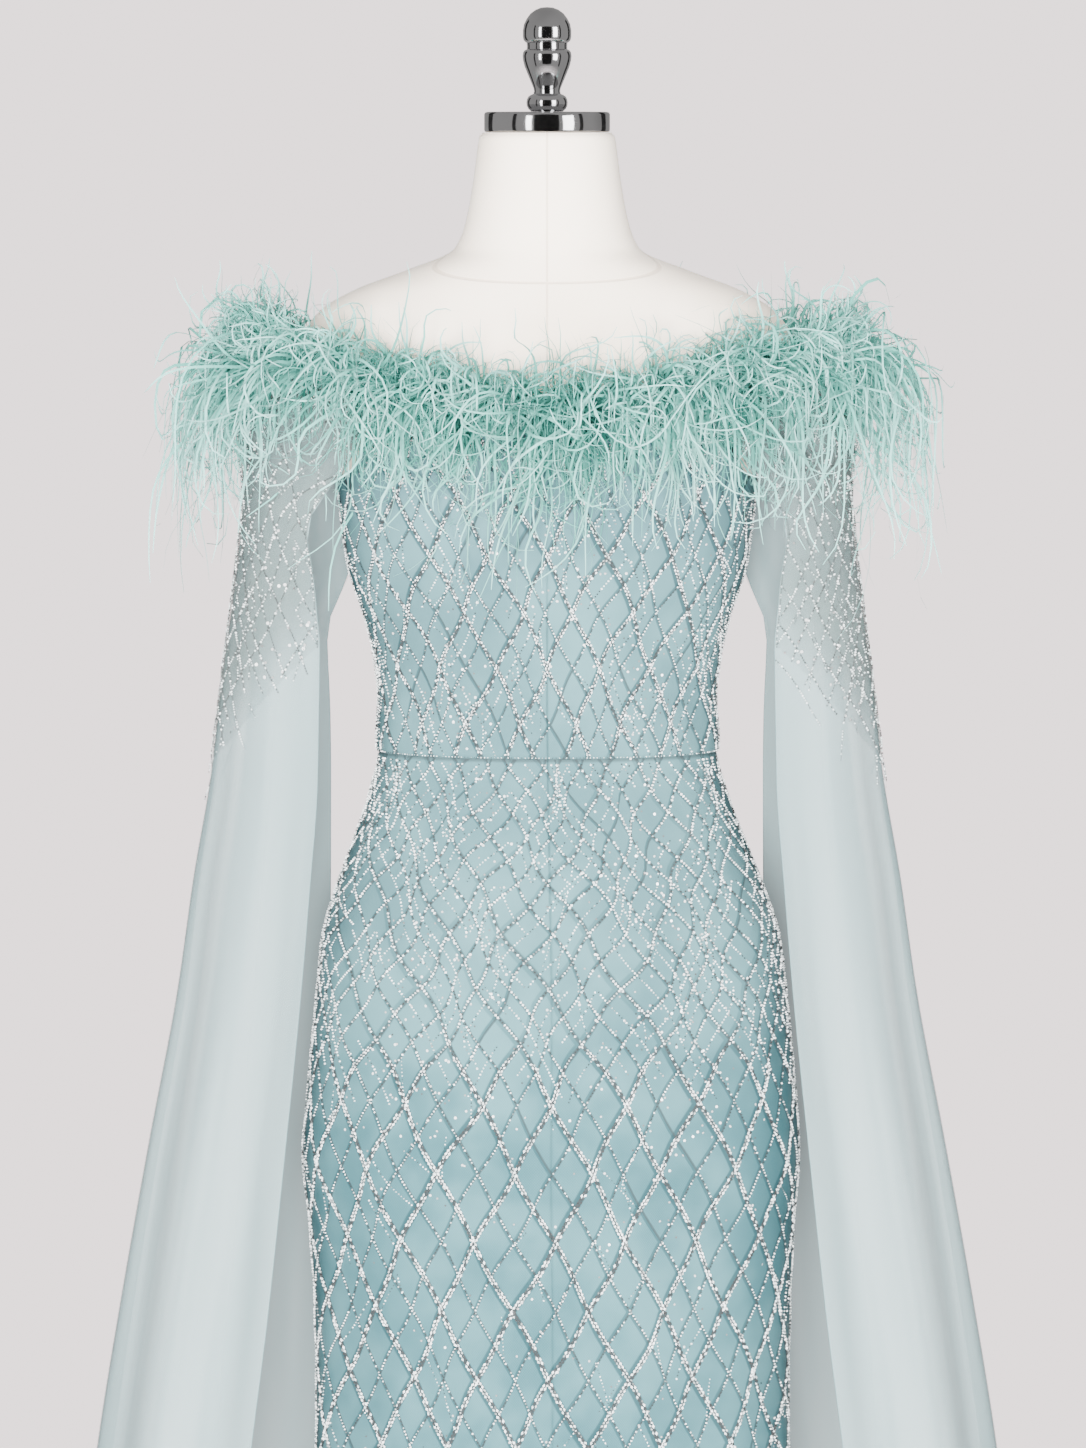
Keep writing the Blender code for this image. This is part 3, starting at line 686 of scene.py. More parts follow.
def gown_finish(settings):
    """Satin lining under fine tulle, with the stitched lines that carry the beads, and painted shade
    at the gown's sides, beside each strand and under the bodice's hem.
    """
    finish = Finish("beaded net")
    round_gown, down_gown = finish.map("lattice")
    across, down = finish.map("cloth")

    def lines(shift, widths):
        """Crossing lines of the lattice, moved round by a shift."""
        one_way = (round_gown + down_gown + shift).from_line()
        other_way = (round_gown - down_gown + shift).from_line()
        return one_way.least(other_way).between(*widths)

    z = finish.height()
    below_hips = z.between(HIP_TOP + 0.02, HIP_TOP - 0.02)
    heavy = below_hips.most(z.between(BODICE_HEM, BODICE_HEM + 0.01))
    thread = lines(0.0, THREAD) * (heavy * 0.3 + 0.7)
    beside = lines(SHADE_SHIFT, SHADOW) * (heavy * 0.5 + 0.5)
    fine_thread = lines(0.5, FINE_THREAD)
    fine_beside = lines(0.5 + SHADE_SHIFT, FINE_SHADOW)
    # Painted shade towards the gown's sides, where the light falls away round the figure
    sides = (round_gown / (STRANDS_ROUND / 2)).from_line().between(0.34, 0.47)
    hem_shade = z.between(BODICE_HEM - 0.0032, BODICE_HEM - 0.0010)
    hem_shade = hem_shade * (BODICE_HEM + 0.0010 - z).between(0.0, 0.0008)
    blotch = finish.noise(11.0, 3.0, 0.6).between(0.36, 0.66)
    broad = finish.noise(3.5, 2.0, 0.5).between(0.35, 0.65)
    tulle = tulle_weave(across, down, GOWN_TULLE, 0.80)
    colour = finish.mix(blotch, settings.lining_deep, settings.lining_pale)
    colour = finish.mix(broad * 0.35, colour, settings.lining_deep)
    dense = z.between(0.76, 0.96) * 0.16
    colour = finish.mix(tulle * 0.10 + dense, colour, settings.net_thread)
    # Painted shade at the sides, beside each strand and just below the bodice's hem
    colour = finish.mix(sides * 0.60, colour, settings.lining_shadow)
    colour = finish.mix(beside * 0.72, colour, settings.lining_shadow)
    colour = finish.mix(fine_beside * 0.60, colour, settings.lining_shadow)
    colour = finish.mix(hem_shade * 0.60, colour, settings.strand_thread)
    colour = finish.mix(thread.most(fine_thread * 0.75) * 0.85, colour, settings.strand_thread)
    height = tulle * 0.4 + thread * 1.2 + fine_thread * 0.6
    return finish.surface(
        colour,
        0.60 - blotch * 0.12,
        height,
        0.00035,
        0.5,
        **{"Specular IOR Level": 0.22},
    )


def chiffon_finish(settings):
    """Sheer silk chiffon: a fine crepe that lets most of the light through."""
    finish = Finish("sleeve chiffon")
    across, down = finish.map("cloth")
    crepe = finish.noise(900.0, 2.0, 0.6)
    drawn_out = finish.out(
        "ShaderNodeCombineXYZ", sockets={"X": across * 26.0, "Y": down * 1.6}
    )
    streak = finish.noise(1.0, 2.0, 0.5, drawn_out).between(0.35, 0.68)
    edge = finish.attribute("edge")
    colour = finish.mix(streak, settings.chiffon, settings.chiffon_deep)
    colour = finish.mix(edge * 0.8, colour, settings.chiffon_edge)
    # Painted shade on the sleeve's turned-back part, which lies in the shade of the front layer:
    # darker and less sheer there
    turned = finish.attribute("turned")
    colour = finish.mix(turned * 0.55, colour, settings.chiffon_shade)
    alpha = (streak * 0.10 + settings.chiffon_cover + edge * 0.4 + turned * 0.22).least(1.0)
    return finish.surface(
        colour,
        0.70 + crepe * 0.12,
        plain_weave(across, down, CHIFFON_THREADS) + crepe,
        0.00010,
        0.35,
        Alpha=alpha,
        **{"Specular IOR Level": 0.15},
    )


def sleeve_net_finish(settings):
    """The sleeve's upper net, a little denser and greener than the chiffon."""
    finish = Finish("sleeve net")
    across, down = finish.map("cloth")
    tulle = tulle_weave(across, down, SLEEVE_TULLE, 0.70)
    blotch = finish.noise(16.0, 3.0, 0.6).between(0.35, 0.68)
    colour = finish.mix(blotch, settings.net_deep, settings.net_pale)
    fade = finish.attribute("edge")
    alpha = ((blotch * 0.10 + settings.net_cover) * (fade * 0.8 + 0.2)).least(1.0)
    return finish.surface(
        colour,
        0.62 + blotch * 0.1,
        tulle,
        0.0002,
        0.5,
        Alpha=alpha,
        **{"Specular IOR Level": 0.15},
    )


def bead_finish(settings, dark=0.24, bright=0.62):
    """Silver-lined glass beads, each painted at random: a share in shade, a share in half light, and
    a share lit, up to a painted glint.
    """
    finish = Finish("silver beads")
    tone = finish.attribute("tone")
    # Painted light at random by each bead's tone: in shade, in half light, lit, and a glint
    stops = (
        (0.0, settings.beads_dark),
        (dark, settings.beads_dark),
        (dark + 0.08, settings.beads_silver),
        (bright, settings.beads),
        (1.0, BEADS_GLINT),
    )
    colour = finish.out("ShaderNodeValToRGB", {"stops": stops}, {"Fac": tone}, "Color")
    speck = finish.noise(700.0, 1.0, 0.5)
    return finish.surface(
        colour,
        speck * 0.15 + 0.14,
        speck,
        0.00005,
        0.2,
        **{"Metallic": 0.0, "Specular IOR Level": 0.6, "Coat Weight": 0.1},
    )


def sequin_finish(settings):
    """Pearly clear sequins, each painted at random between the beads' shade colour and a white
    highlight.
    """
    finish = Finish("pearl sequins")
    tone = finish.attribute("tone")
    # Painted shade and highlight: each sequin's tone picks between the beads' shade colour and white
    colour = finish.mix(tone, settings.beads_dark, WHITE)
    speck = finish.noise(500.0, 1.0, 0.5)
    return finish.surface(
        colour, speck * 0.1 + 0.14, speck, 0.00004, 0.2, **{"Metallic": 0.35, "Coat Weight": 0.8}
    )


def feather_finish(settings):
    """Dyed ostrich barbs, deep at the quill and pale at the tip; the deep roots are partly painted
    shade inside the dense trim.
    """
    finish = Finish("feather barbs")
    along = finish.attribute("along")
    tone = finish.attribute("tone")
    # Deep at the roots partly for the dye and partly as painted shade among the barbs
    stops = (
        (0.0, settings.feather_deep),
        (0.22, settings.feather),
        (0.60, settings.feather_pale),
        (1.0, settings.feather_tip),
    )
    reached = (along * 0.8 + tone * 0.42 - 0.10).most(0.0).least(1.0)
    colour = finish.out("ShaderNodeValToRGB", {"stops": stops}, {"Fac": reached}, "Color")
    downy = finish.noise(1400.0, 1.0, 0.5)
    finish.surface(
        colour, 0.62 + downy * 0.2, downy, 0.00005, 0.3, **{"Specular IOR Level": 0.12}
    )
    through = finish.node("ShaderNodeBsdfTranslucent", sockets={"Color": settings.feather_lit})
    both = finish.node("ShaderNodeMixShader", sockets={"Fac": 0.25})
    finish.tree.links.new(finish.shader.outputs[0], both.inputs[1])
    finish.tree.links.new(through.outputs[0], both.inputs[2])
    finish.tree.links.new(both.outputs[0], finish.output.inputs["Surface"])
    return finish.material


def tape_finish(settings):
    """The ribbed tape that the feathers are sewn to."""
    finish = Finish("feather tape")
    rib = (finish.height() * TAPE_RIBS).sine()
    cloud = finish.noise(60.0, 3.0, 0.6)
    colour = finish.mix(cloud, settings.feather_deep, settings.feather)
    return finish.surface(colour, cloud * 0.1 + 0.7, rib, 0.0001, 0.4)


def floor_finish(settings):
    """A pale studio floor that fades into the backdrop."""
    finish = Finish("studio floor")
    x, y = finish.split(finish.place())[:2]
    far = (x * x + y * y).maths("SQRT")
    worn = finish.noise(0.8, 2.0, 0.5)
    return finish.surface(settings.floor, 0.9 + worn * 0.05, Alpha=far.between(2.6, 0.9))


# Making pieces

# How far a bead or a sequin may lean, as a share of its direction
ASKEW = 0.35


class Geometry(Tree):
    """A geometry group under construction, which takes a carrier mesh and gives finished pieces."""

    def __init__(self, name, inputs):
        super().__init__(bpy.data.node_groups.new(name, "GeometryNodeTree"))
        faces = self.tree.interface
        faces.new_socket("Carrier", in_out="INPUT", socket_type="NodeSocketGeometry")
        for label, kind, default in inputs:
            made = faces.new_socket(label, in_out="INPUT", socket_type=f"NodeSocket{kind}")
            if default is not None:
                made.default_value = default
        faces.new_socket("Pieces", in_out="OUTPUT", socket_type="NodeSocketGeometry")
        self.start = self.tree.nodes.new("NodeGroupInput")
        self.end = self.tree.nodes.new("NodeGroupOutput")

    def given(self, label):
        return Value(self, self.start.outputs[label])

    def stored(self, name, kind="FLOAT"):
        return self.out(
            "GeometryNodeInputNamedAttribute", {"data_type": kind}, {"Name": name}, "Attribute"
        )

    def chance(self, low, high, seed):
        sockets = {"Min": low, "Max": high, "Seed": seed}
        return self.out("FunctionNodeRandomValue", {"data_type": "FLOAT"}, sockets)

    def askew(self, direction, seed):
        """A direction with a little chance added each way."""
        sockets = {"Min": (-ASKEW,) * 3, "Max": (ASKEW,) * 3, "Seed": seed}
        chance = self.out("FunctionNodeRandomValue", {"data_type": "FLOAT_VECTOR"}, sockets)
        return self.vector("ADD", direction, chance)

    def toned(self, instances, seed):
        """Each instance with a chance tone of its own, for the material."""
        return self.out(
            "GeometryNodeStoreNamedAttribute",
            {"data_type": "FLOAT", "domain": "INSTANCE"},
            {"Geometry": instances, "Name": "tone", "Value": self.chance(0.0, 1.0, seed)},
        )

    def finish(self, instances):
        real = self.out("GeometryNodeRealizeInstances", sockets={"Geometry": instances})
        sockets = {"Geometry": real, "Material": self.given("Material")}
        done = self.out("GeometryNodeSetMaterial", sockets=sockets)
        self.tree.links.new(done.socket, self.end.inputs["Pieces"])
        return self.tree


def beads_on_strands():
    """Beads strung along strands, staggered into two rows where the strand is a heavy one."""
    inputs = (
        ("Pitch", "Float", 0.0014),
        ("Bead size", "Float", 0.0016),
        ("Row spacing", "Float", 0.0022),
        ("Stretch", "Float", 0.75),
        ("Seed", "Int", 1),
        ("Material", "Material", None),
    )
    tree = Geometry("beads on strands", inputs)
    curve = tree.out("GeometryNodeMeshToCurve", sockets={"Mesh": tree.given("Carrier")})
    stations = tree.out(
        "GeometryNodeResampleCurve",
        {"mode": "LENGTH"},
        {"Curve": curve, "Length": tree.given("Pitch")},
    )
    normal = tree.stored("normal", "FLOAT_VECTOR")
    weight = tree.stored("weight")
    doubled = tree.stored("doubled")
    tangent = tree.out("GeometryNodeInputTangent")
    side = tree.vector("NORMALIZE", tree.vector("CROSS_PRODUCT", tangent, normal))
    place = tree.out("GeometryNodeInputIndex")
    stagger = (place % 2.0 - 0.5) * doubled * weight * tree.given("Row spacing")
    offset = tree.vector("SCALE", side, Scale=stagger)
    spaced = tree.out(
        "GeometryNodeSetPosition", sockets={"Geometry": stations, "Offset": offset}
    )
    bead = tree.out(
        "GeometryNodeMeshUVSphere", sockets={"Segments": 4, "Rings": 2, "Radius": 0.5}
    )
    size = tree.chance(0.82, 1.15, tree.given("Seed")) * tree.given("Bead size") * weight
    length = size * (doubled * tree.given("Stretch") + 1.0)
    shape = tree.out("ShaderNodeCombineXYZ", sockets={"X": size, "Y": size, "Z": length})
    facing = tree.askew(tangent, tree.given("Seed"))
    turned = tree.out("FunctionNodeAlignRotationToVector", {"axis": "Z"}, {"Vector": facing})
    strung = tree.out(
        "GeometryNodeInstanceOnPoints",
        sockets={
            "Points": spaced,
            "Instance": bead,
            "Rotation": turned,
            "Scale": shape,
        },
    )
    return tree.finish(tree.toned(strung, tree.given("Seed")))


def sequins_on_points():
    """Small discs sewn flat on the cloth, each a little askew."""
    inputs = (
        ("Sequin size", "Float", 0.0030),
        ("Seed", "Int", 1),
        ("Material", "Material", None),
    )
    tree = Geometry("sequins on points", inputs)
    disc = tree.out(
        "GeometryNodeMeshCircle",
        {"fill_type": "NGON"},
        {"Vertices": 6, "Radius": 0.5},
    )
    facing = tree.askew(tree.stored("normal", "FLOAT_VECTOR"), tree.given("Seed"))
    turned = tree.out("FunctionNodeAlignRotationToVector", {"axis": "Z"}, {"Vector": facing})
    size = tree.chance(0.7, 1.1, tree.given("Seed")) * tree.given("Sequin size")
    sewn = tree.out(
        "GeometryNodeInstanceOnPoints",
        sockets={
            "Points": tree.given("Carrier"),
            "Instance": disc,
            "Rotation": turned,
            "Scale": size,
        },
    )
    return tree.finish(tree.toned(sewn, tree.given("Seed")))


def barbs_on_paths():
    """Flat feather barbs along their paths, each as wide and as tilted as its path says."""
    tree = Geometry("barbs on paths", (("Material", "Material", None),))
    path = tree.out("GeometryNodeMeshToCurve", sockets={"Mesh": tree.given("Carrier")})
    tilted = tree.out(
        "GeometryNodeSetCurveTilt", sockets={"Curve": path, "Tilt": tree.stored("tilt")}
    )
    flat = tree.out(
        "GeometryNodeCurvePrimitiveLine",
        {"mode": "POINTS"},
        {"Start": (-0.5, 0.0, 0.0), "End": (0.5, 0.0, 0.0)},
    )
    barb = tree.out(
        "GeometryNodeCurveToMesh",
        sockets={"Curve": tilted, "Profile Curve": flat, "Scale": tree.stored("width")},
    )
    return tree.finish(barb)


def show(name, mesh, material=None):
    """Puts a mesh in the scene as a piece at the origin."""
    piece = bpy.data.objects.new(name, mesh)
    bpy.context.scene.collection.objects.link(piece)
    if material is not None:
        mesh.materials.clear()
        mesh.materials.append(material)
    return piece


def seat(piece, slot, *nodes):
    """Declares what a piece rides on and hides the solids that it stands for. The slot is not used.
    """
    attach(piece, "root")
    if nodes:
        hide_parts(*nodes)
    return piece


def grid_mesh(name, points, maps, closed=False, attributes=None):
    """A smooth mesh through rows of points that run down, with its UV maps and attributes."""
    rows, columns = points.shape[:2]
    place = np.arange(rows * columns).reshape(rows, columns)
    if closed:
        place = np.concatenate((place, place[:, :1]), axis=1)
    corners = (place[:-1, :-1], place[1:, :-1], place[1:, 1:], place[:-1, 1:])
    faces = np.stack(corners, axis=-1).reshape(-1, 4)
    mesh = bpy.data.meshes.new(name)
    mesh.from_pydata(points.reshape(-1, 3).tolist(), [], faces.tolist())
    mesh.shade_smooth()
    for map_name, flat in maps.items():
        if closed:
            wide = np.concatenate((flat, flat[:, -1:] * 2 - flat[:, -2:-1]), axis=1)
        else:
            wide = flat
        cells = (wide[:-1, :-1], wide[1:, :-1], wide[1:, 1:], wide[:-1, 1:])
        loops = np.stack(cells, axis=2).reshape(-1, 2)
        layer = mesh.uv_layers.new(name=map_name)
        layer.data.foreach_set("uv", loops.astype(np.float32).ravel())
    for key, values in (attributes or {}).items():
        stored = mesh.attributes.new(key, "FLOAT", "POINT")
        stored.data.foreach_set("value", np.asarray(values, np.float32).ravel())
    return mesh


def thicken(piece, wall):
    """Gives a sheet its wall, inwards from its outer face."""
    solid = piece.modifiers.new("wall", "SOLIDIFY")
    solid.thickness = wall
    solid.offset = -1.0
    solid.use_rim = True
    return piece


def turned_mesh(name, profile, sides=TURNED_SIDES):
    """A turned piece from its profile, closed at the axis at both ends."""
    profile = np.array(profile)
    angles = np.arange(sides) * 2 * math.pi / sides
    body = profile[1:-1]
    ring = np.stack((np.cos(angles), np.sin(angles)), axis=-1)
    points = np.concatenate(
        (
            body[:, None, :1] * ring[None],
            np.broadcast_to(body[:, None, 1:], (len(body), sides, 1)),
        ),
        axis=-1,
    ).reshape(-1, 3)
    place = np.arange(len(points)).reshape(len(body), sides)
    ahead = np.roll(place, -1, axis=1)
    corners = (place[:-1], place[1:], ahead[1:], ahead[:-1])
    faces = np.stack(corners, axis=-1).reshape(-1, 4).tolist()
    top, bottom = len(points), len(points) + 1
    faces += [(top, int(a), int(b)) for a, b in zip(place[0], ahead[0])]
    faces += [(bottom, int(b), int(a)) for a, b in zip(place[-1], ahead[-1])]
    ends = [(0.0, 0.0, profile[0][1]), (0.0, 0.0, profile[-1][1])]
    mesh = bpy.data.meshes.new(name)
    mesh.from_pydata(points.tolist() + ends, [], faces)
    mesh.shade_smooth()
    return mesh


def with_lids(mesh, columns, rows):
    """Closes the first and the last ring of a tube with one face each."""
    work = bmesh.new()
    work.from_mesh(mesh)
    work.verts.ensure_lookup_table()
    work.faces.new([work.verts[i] for i in range(columns)])
    last = (rows - 1) * columns
    work.faces.new([work.verts[last + i] for i in reversed(range(columns))])
    work.to_mesh(mesh)
    work.free()
    return mesh


def path_mesh(name, paths, attributes):
    """A carrier of open paths. Each path is a row of points, with attributes to match."""
    points, edges, start = [], [], 0
    for path in paths:
        points.append(path)
        steps = np.arange(start, start + len(path) - 1)
        edges.append(np.stack((steps, steps + 1), axis=-1))
        start += len(path)
    mesh = bpy.data.meshes.new(name)
    mesh.from_pydata(np.concatenate(points).tolist(), np.concatenate(edges).tolist(), [])
    store(mesh, attributes)
    return mesh


def store(mesh, attributes):
    """Stores a value or a vector at each point of a carrier."""
    for key, parts in attributes.items():
        values = np.concatenate([np.asarray(part, np.float32) for part in parts])
        if values.ndim == 2:
            stored = mesh.attributes.new(key, "FLOAT_VECTOR", "POINT")
            stored.data.foreach_set("vector", values.ravel())
        else:
            stored = mesh.attributes.new(key, "FLOAT", "POINT")
            stored.data.foreach_set("value", values)


def grow(name, carrier_mesh, tree, inputs):
    """The plain mesh that a geometry group makes from a carrier."""
    carrier = bpy.data.objects.new(f"{name}_carrier", carrier_mesh)
    bpy.context.scene.collection.objects.link(carrier)
    modifier = carrier.modifiers.new("grow", "NODES")
    modifier.node_group = tree
    for item in tree.interface.items_tree:
        if item.item_type == "SOCKET" and item.in_out == "INPUT" and item.name in inputs:
            modifier[item.identifier] = inputs[item.name]
    bpy.context.view_layer.update()
    graph = bpy.context.evaluated_depsgraph_get()
    mesh = bpy.data.meshes.new_from_object(
        carrier.evaluated_get(graph), preserve_all_data_layers=True, depsgraph=graph
    )
    bpy.data.objects.remove(carrier, do_unlink=True)
    mesh.name = name
    if not mesh.polygons:
        raise RuntimeError(f"{name}: the geometry group made no faces")
    return mesh


def finish_of(name, maker, settings):
    """A material made once and shared by like pieces."""
    key = f"gown_{name}"
    made = bpy.data.materials.get(key)
    if made is None:
        made = maker(settings)
        made.name = key
    return made


# The bead lattice

STRANDS_ROUND = 18
HIP_HEIGHT = 0.75
# Height above the floor, and how many diamonds lie below it
SKIRT_PHASE = np.array(((0.0, 0.0), (0.55, 5.45), (0.83, 8.25), (0.95, 9.75), (1.07, 11.55)))
BODICE_PHASE = np.array(((1.04, 0.0), (1.20, 1.95), (1.36, 3.75)))
# Step along a strand, and the heights that strands and sprigs stay below
STRAND_STEP = 0.004
STRANDS_TOP = 1.37
SPRIGS_TOP = 1.36
# How far off the cloth the middles of beads and sequins lie
STRAND_LIFT = 0.0007
SPRIG_LIFT = 0.0009
WAIST_LIFT = 0.0005
SEQUIN_LIFT = 0.0012


def phase(table, height):
    return np.interp(height, table[:, 0], table[:, 1])


def length_round():
    """Turns round the figure at the hips, and the share of the way round that each has gone."""
    turns = np.linspace(0, 2 * math.pi, 721)
    points = figure_points(HIP_HEIGHT, turns, 0.0)
    steps = np.linalg.norm(np.diff(points, axis=0), axis=1)
    shares = np.concatenate(([0.0], np.cumsum(steps)))
    return turns, shares / shares[-1]


TURNS, SHARES = length_round()


def strands_at(turn):
    """Strand places round the gown at a turn, evenly spaced along the cloth."""
    rounds = np.floor(turn / (2 * math.pi))
    share = np.interp(turn - rounds * 2 * math.pi, TURNS, SHARES)
    return (share + rounds) * STRANDS_ROUND


def turn_at(strands):
    share = strands / STRANDS_ROUND
    rounds = np.floor(share)
    return np.interp(share - rounds, SHARES, TURNS) + rounds * 2 * math.pi


def stray(round_gown, down_gown, amount):
    """How far the hand-laid strands wander sideways, in diamonds."""
    turn = round_gown * 2 * math.pi / STRANDS_ROUND
    wander = np.sin(5 * turn + 1.9 * down_gown + 0.4)
    wander += 0.7 * np.sin(-11 * turn + 2.7 * down_gown + 2.2)
    wander += 0.5 * np.sin(17 * turn + 4.3 * down_gown + 5.1)
    return amount * wander / 2.2


def skirt_stray(height):
    return 0.10 + 0.14 * smooth_step((height - 0.80) / 0.12)


def bodice_stray(height):
    return 0.13 + 0 * height


def skirt_heights(turns):
    """Heights of the skirt's rows, from the top down, at some turns."""
    rows = np.linspace(SKIRT_TOP, SKIRT_HEM, 106)[:, None]
    return np.broadcast_to(rows, (len(rows), len(turns))).copy()


def bodice_heights(turns):
    """Heights of the bodice's rows, from the top down, at some turns."""
    top = bodice_top(turns)[None]
    return top + (BODICE_HEM - top) * np.linspace(0, 1, 47)[:, None]


def skirt_beads_top(turn):
    return np.full(np.shape(turn), BODICE_HEM - 0.003)


def bodice_beads_top(turn):
    return bodice_top(turn) - 0.012


# What sets the skirt and the bodice apart: name, surface, heights of rows, diamonds below a height,
# how far strands wander and how high the beads reach
Cloth = namedtuple("Cloth", "name surface heights phases stray beads_top")
SKIRT = Cloth("skirt", skirt_points, skirt_heights, SKIRT_PHASE, skirt_stray, skirt_beads_top)
BODICE = Cloth(
    "bodice", bodice_points, bodice_heights, BODICE_PHASE, bodice_stray, bodice_beads_top
)


def lattice_map(cloth, height, turn):
    """Lattice coordinates of points of the gown, in diamonds round and up."""
    up = phase(cloth.phases, height)
    wanted = strands_at(turn)
    around = wanted.copy()
    # Each pass comes nearer to the place that strays to the wanted one
    for _ in range(6):
        around = wanted - stray(around, up, cloth.stray(height))
    return np.stack((around, up), axis=-1)


def strand(cloth, height, around, lift):
    """A strand's points, outward directions and turns, from its lattice coordinates."""
    up = phase(cloth.phases, height)
    turn = turn_at(around + stray(around, up, cloth.stray(height)))
    points = cloth.surface(height, turn, EASE + NET_WALL + lift)
    return points, directions(cloth.surface, height, turn), turn


class Strands:
    """Collects strands by the piece that they belong to."""

    def __init__(self):
        self.paths = []
        self.normals = []
        self.weights = []
        self.doubled = []

    def add(self, points, normals, weight, doubled):
        if len(points) < 2:
            return
        self.paths.append(points)
        self.normals.append(normals)
        self.weights.append(np.broadcast_to(weight, len(points)))
        self.doubled.append(np.broadcast_to(doubled, len(points)))

    def carrier(self, name):
        attributes = {
            "normal": self.normals,
            "weight": self.weights,
            "doubled": self.doubled,
        }
        return path_mesh(name, self.paths, attributes)


def runs(keep):
    """Start and end of each unbroken run of True values."""
    edges = np.flatnonzero(np.diff(np.concatenate(([False], keep, [False])).astype(int)))
    return list(zip(edges[::2], edges[1::2]))


# A set of strands: its place between the main ones, whether it has two rows, its bead weight, the
# share of its length that is left out, and the heights that it starts and ends at
Kind = namedtuple("Kind", "offset doubled weight gaps above below", defaults=(2.0,))


def skirt_weight(height):
    return 1.0 - 0.28 * smooth_step((height - 0.79) / 0.09)


def hip_weight(height):
    """Heavier over the hips, where no strand has two rows."""
    return 0.92 + 0.28 * smooth_step((height - 0.80) / 0.06)


def bodice_weight(height):
    return 0.82 + 0 * height


def fine_weight(height):
    return 0.96 + 0 * height


SKIRT_KINDS = (
    Kind(0.0, True, skirt_weight, 0.0, 0.0, HIP_TOP),
    Kind(0.0, False, hip_weight, 0.0, HIP_TOP),
    Kind(0.5, False, hip_weight, 0.06, 0.0),
    Kind(0.25, False, fine_weight, 0.40, 0.82),
    Kind(0.75, False, fine_weight, 0.40, 0.82),
)
BODICE_KINDS = (
    Kind(0.0, True, bodice_weight, 0.0, 0.0),
    Kind(0.5, False, bodice_weight, 0.10, 0.0),
    Kind(0.25, False, fine_weight, 0.55, 0.0),
)


def lay_lattice(groups, cloth, low, kinds, chance):
    """Lays the sets of strands of one lattice both ways, sorted into front and back."""
    height = np.arange(low, STRANDS_TOP, STRAND_STEP)
    up = phase(cloth.phases, height)
    cell = np.floor(up * 2).astype(int)
    for kind in kinds:
        weight = kind.weight(height)
        for way in (1, -1):
            for number in range(STRANDS_ROUND):
                around = number + kind.offset - way * up
                points, normals, turn = strand(cloth, height, around, STRAND_LIFT)
                ends = (number * 7 % 5 - 2) * 0.008
                inside = height < cloth.beads_top(turn)
                inside &= height > kind.above + ends * (kind.above > 0)
                inside &= height < kind.below + ends
                inside &= (chance.random(cell.max() + 2) > kind.gaps)[cell]
                front = np.cos(turn) > 0
                for side, mask in (("front", inside & front), ("back", inside & ~front)):
                    for start, stop in runs(mask):
                        last = stop + 1 if stop < len(height) and inside[stop] else stop
                        part = slice(start, last)
                        group = groups[side, kind.doubled]
                        group.add(points[part], normals[part], weight[part], kind.doubled)


def lay_sprigs(groups, cloth, low, count, lengths, chance):
    """Short sprigs that leave a strand and end free."""
    for _ in range(count):
        height = chance.uniform(low, SPRIGS_TOP)
        number = chance.integers(0, STRANDS_ROUND * 2) / 2
        way = chance.choice((-1, 1))
        around = number - way * phase(cloth.phases, height)
        lean = chance.uniform(-0.9, 0.9)
        length = chance.uniform(*lengths)
        bow = np.linspace(0, 1, 9)
        path = height + bow * length * chance.choice((-1, 1))
        curve = around + lean * (bow + chance.uniform(-0.5, 0.5) * bow * bow) * length / 0.05
        points, normals, turn = strand(cloth, path, curve, SPRIG_LIFT)
        inside = (path < cloth.beads_top(turn)) & (path > low)
        if inside.all():
            side = "front" if np.cos(turn[0]) > 0 else "back"
            groups[side, False].add(points, normals, chance.uniform(0.65, 0.95), 0.0)


def gown_groups():
    return {(side, heavy): Strands() for side in ("front", "back") for heavy in (True, False)}


def string_beads(name, strands, pitch, size, seed, material, settings):
    """The beads on some strands, as one piece."""
    tree = bpy.data.node_groups.get("beads on strands") or beads_on_strands()
    inputs = {
        "Pitch": pitch,
        "Bead size": size,
        "Row spacing": settings.row_spacing,
        "Seed": seed,
        "Material": material,
    }
    seat(show(name, grow(name, strands.carrier(name), tree, inputs)), "silver_bead")


def string_gown_beads(name, groups, seed, settings):
    """The beads of one lattice by side, heavy strands first and then fine ones."""
    material = finish_of("beads", bead_finish, settings)
    for side in ("front", "back"):
        for heavy in (True, False):
            pitch = settings.heavy_pitch if heavy else settings.fine_pitch
            label = f"{name}_{side}_{'heavy' if heavy else 'fine'}"
            strands = groups[side, heavy]
            string_beads(
                label, strands, pitch, settings.bead_size, seed + heavy, material, settings
            )


def sew_sequins(name, points, normals, size, seed, settings):
    """Sequins at some points of the cloth, as one piece."""
    mesh = bpy.data.meshes.new(name)
    mesh.from_pydata(points.tolist(), [], [])
    store(mesh, {"normal": [normals]})
    tree = bpy.data.node_groups.get("sequins on points") or sequins_on_points()
    inputs = {
        "Sequin size": size,
        "Seed": seed,
        "Material": finish_of("sequins", sequin_finish, settings),
    }
    seat(show(name, grow(name, mesh, tree, inputs)), "silver_bead")


def scatter_sequins(cloth, spots, seed, settings, chance):
    """Sequins in soft clusters on the skirt or the bodice."""
    points, normals = [], []
    for turn, height, turn_spread, height_spread, count in spots:
        turns = np.radians(turn + chance.normal(0, turn_spread, count))
        heights = height + chance.normal(0, height_spread, count)
        heights = np.clip(heights, height - 2.2 * height_spread, height + 2.2 * height_spread)
        points.append(cloth.surface(heights, turns, EASE + NET_WALL + SEQUIN_LIFT))
        normals.append(directions(cloth.surface, heights, turns))
    name = f"{cloth.name}_sequins"
    points, normals = np.concatenate(points), np.concatenate(normals)
    sew_sequins(name, points, normals, settings.sequin_size, seed, settings)


# Pieces of the gown

SEAM_DIP = 0.0005
SEAM_WIDTH = 0.009
PANELS = (("front_left", 0), ("back_left", 1), ("back_right", 2), ("front_right", 3))
PANEL_COLUMNS = 32


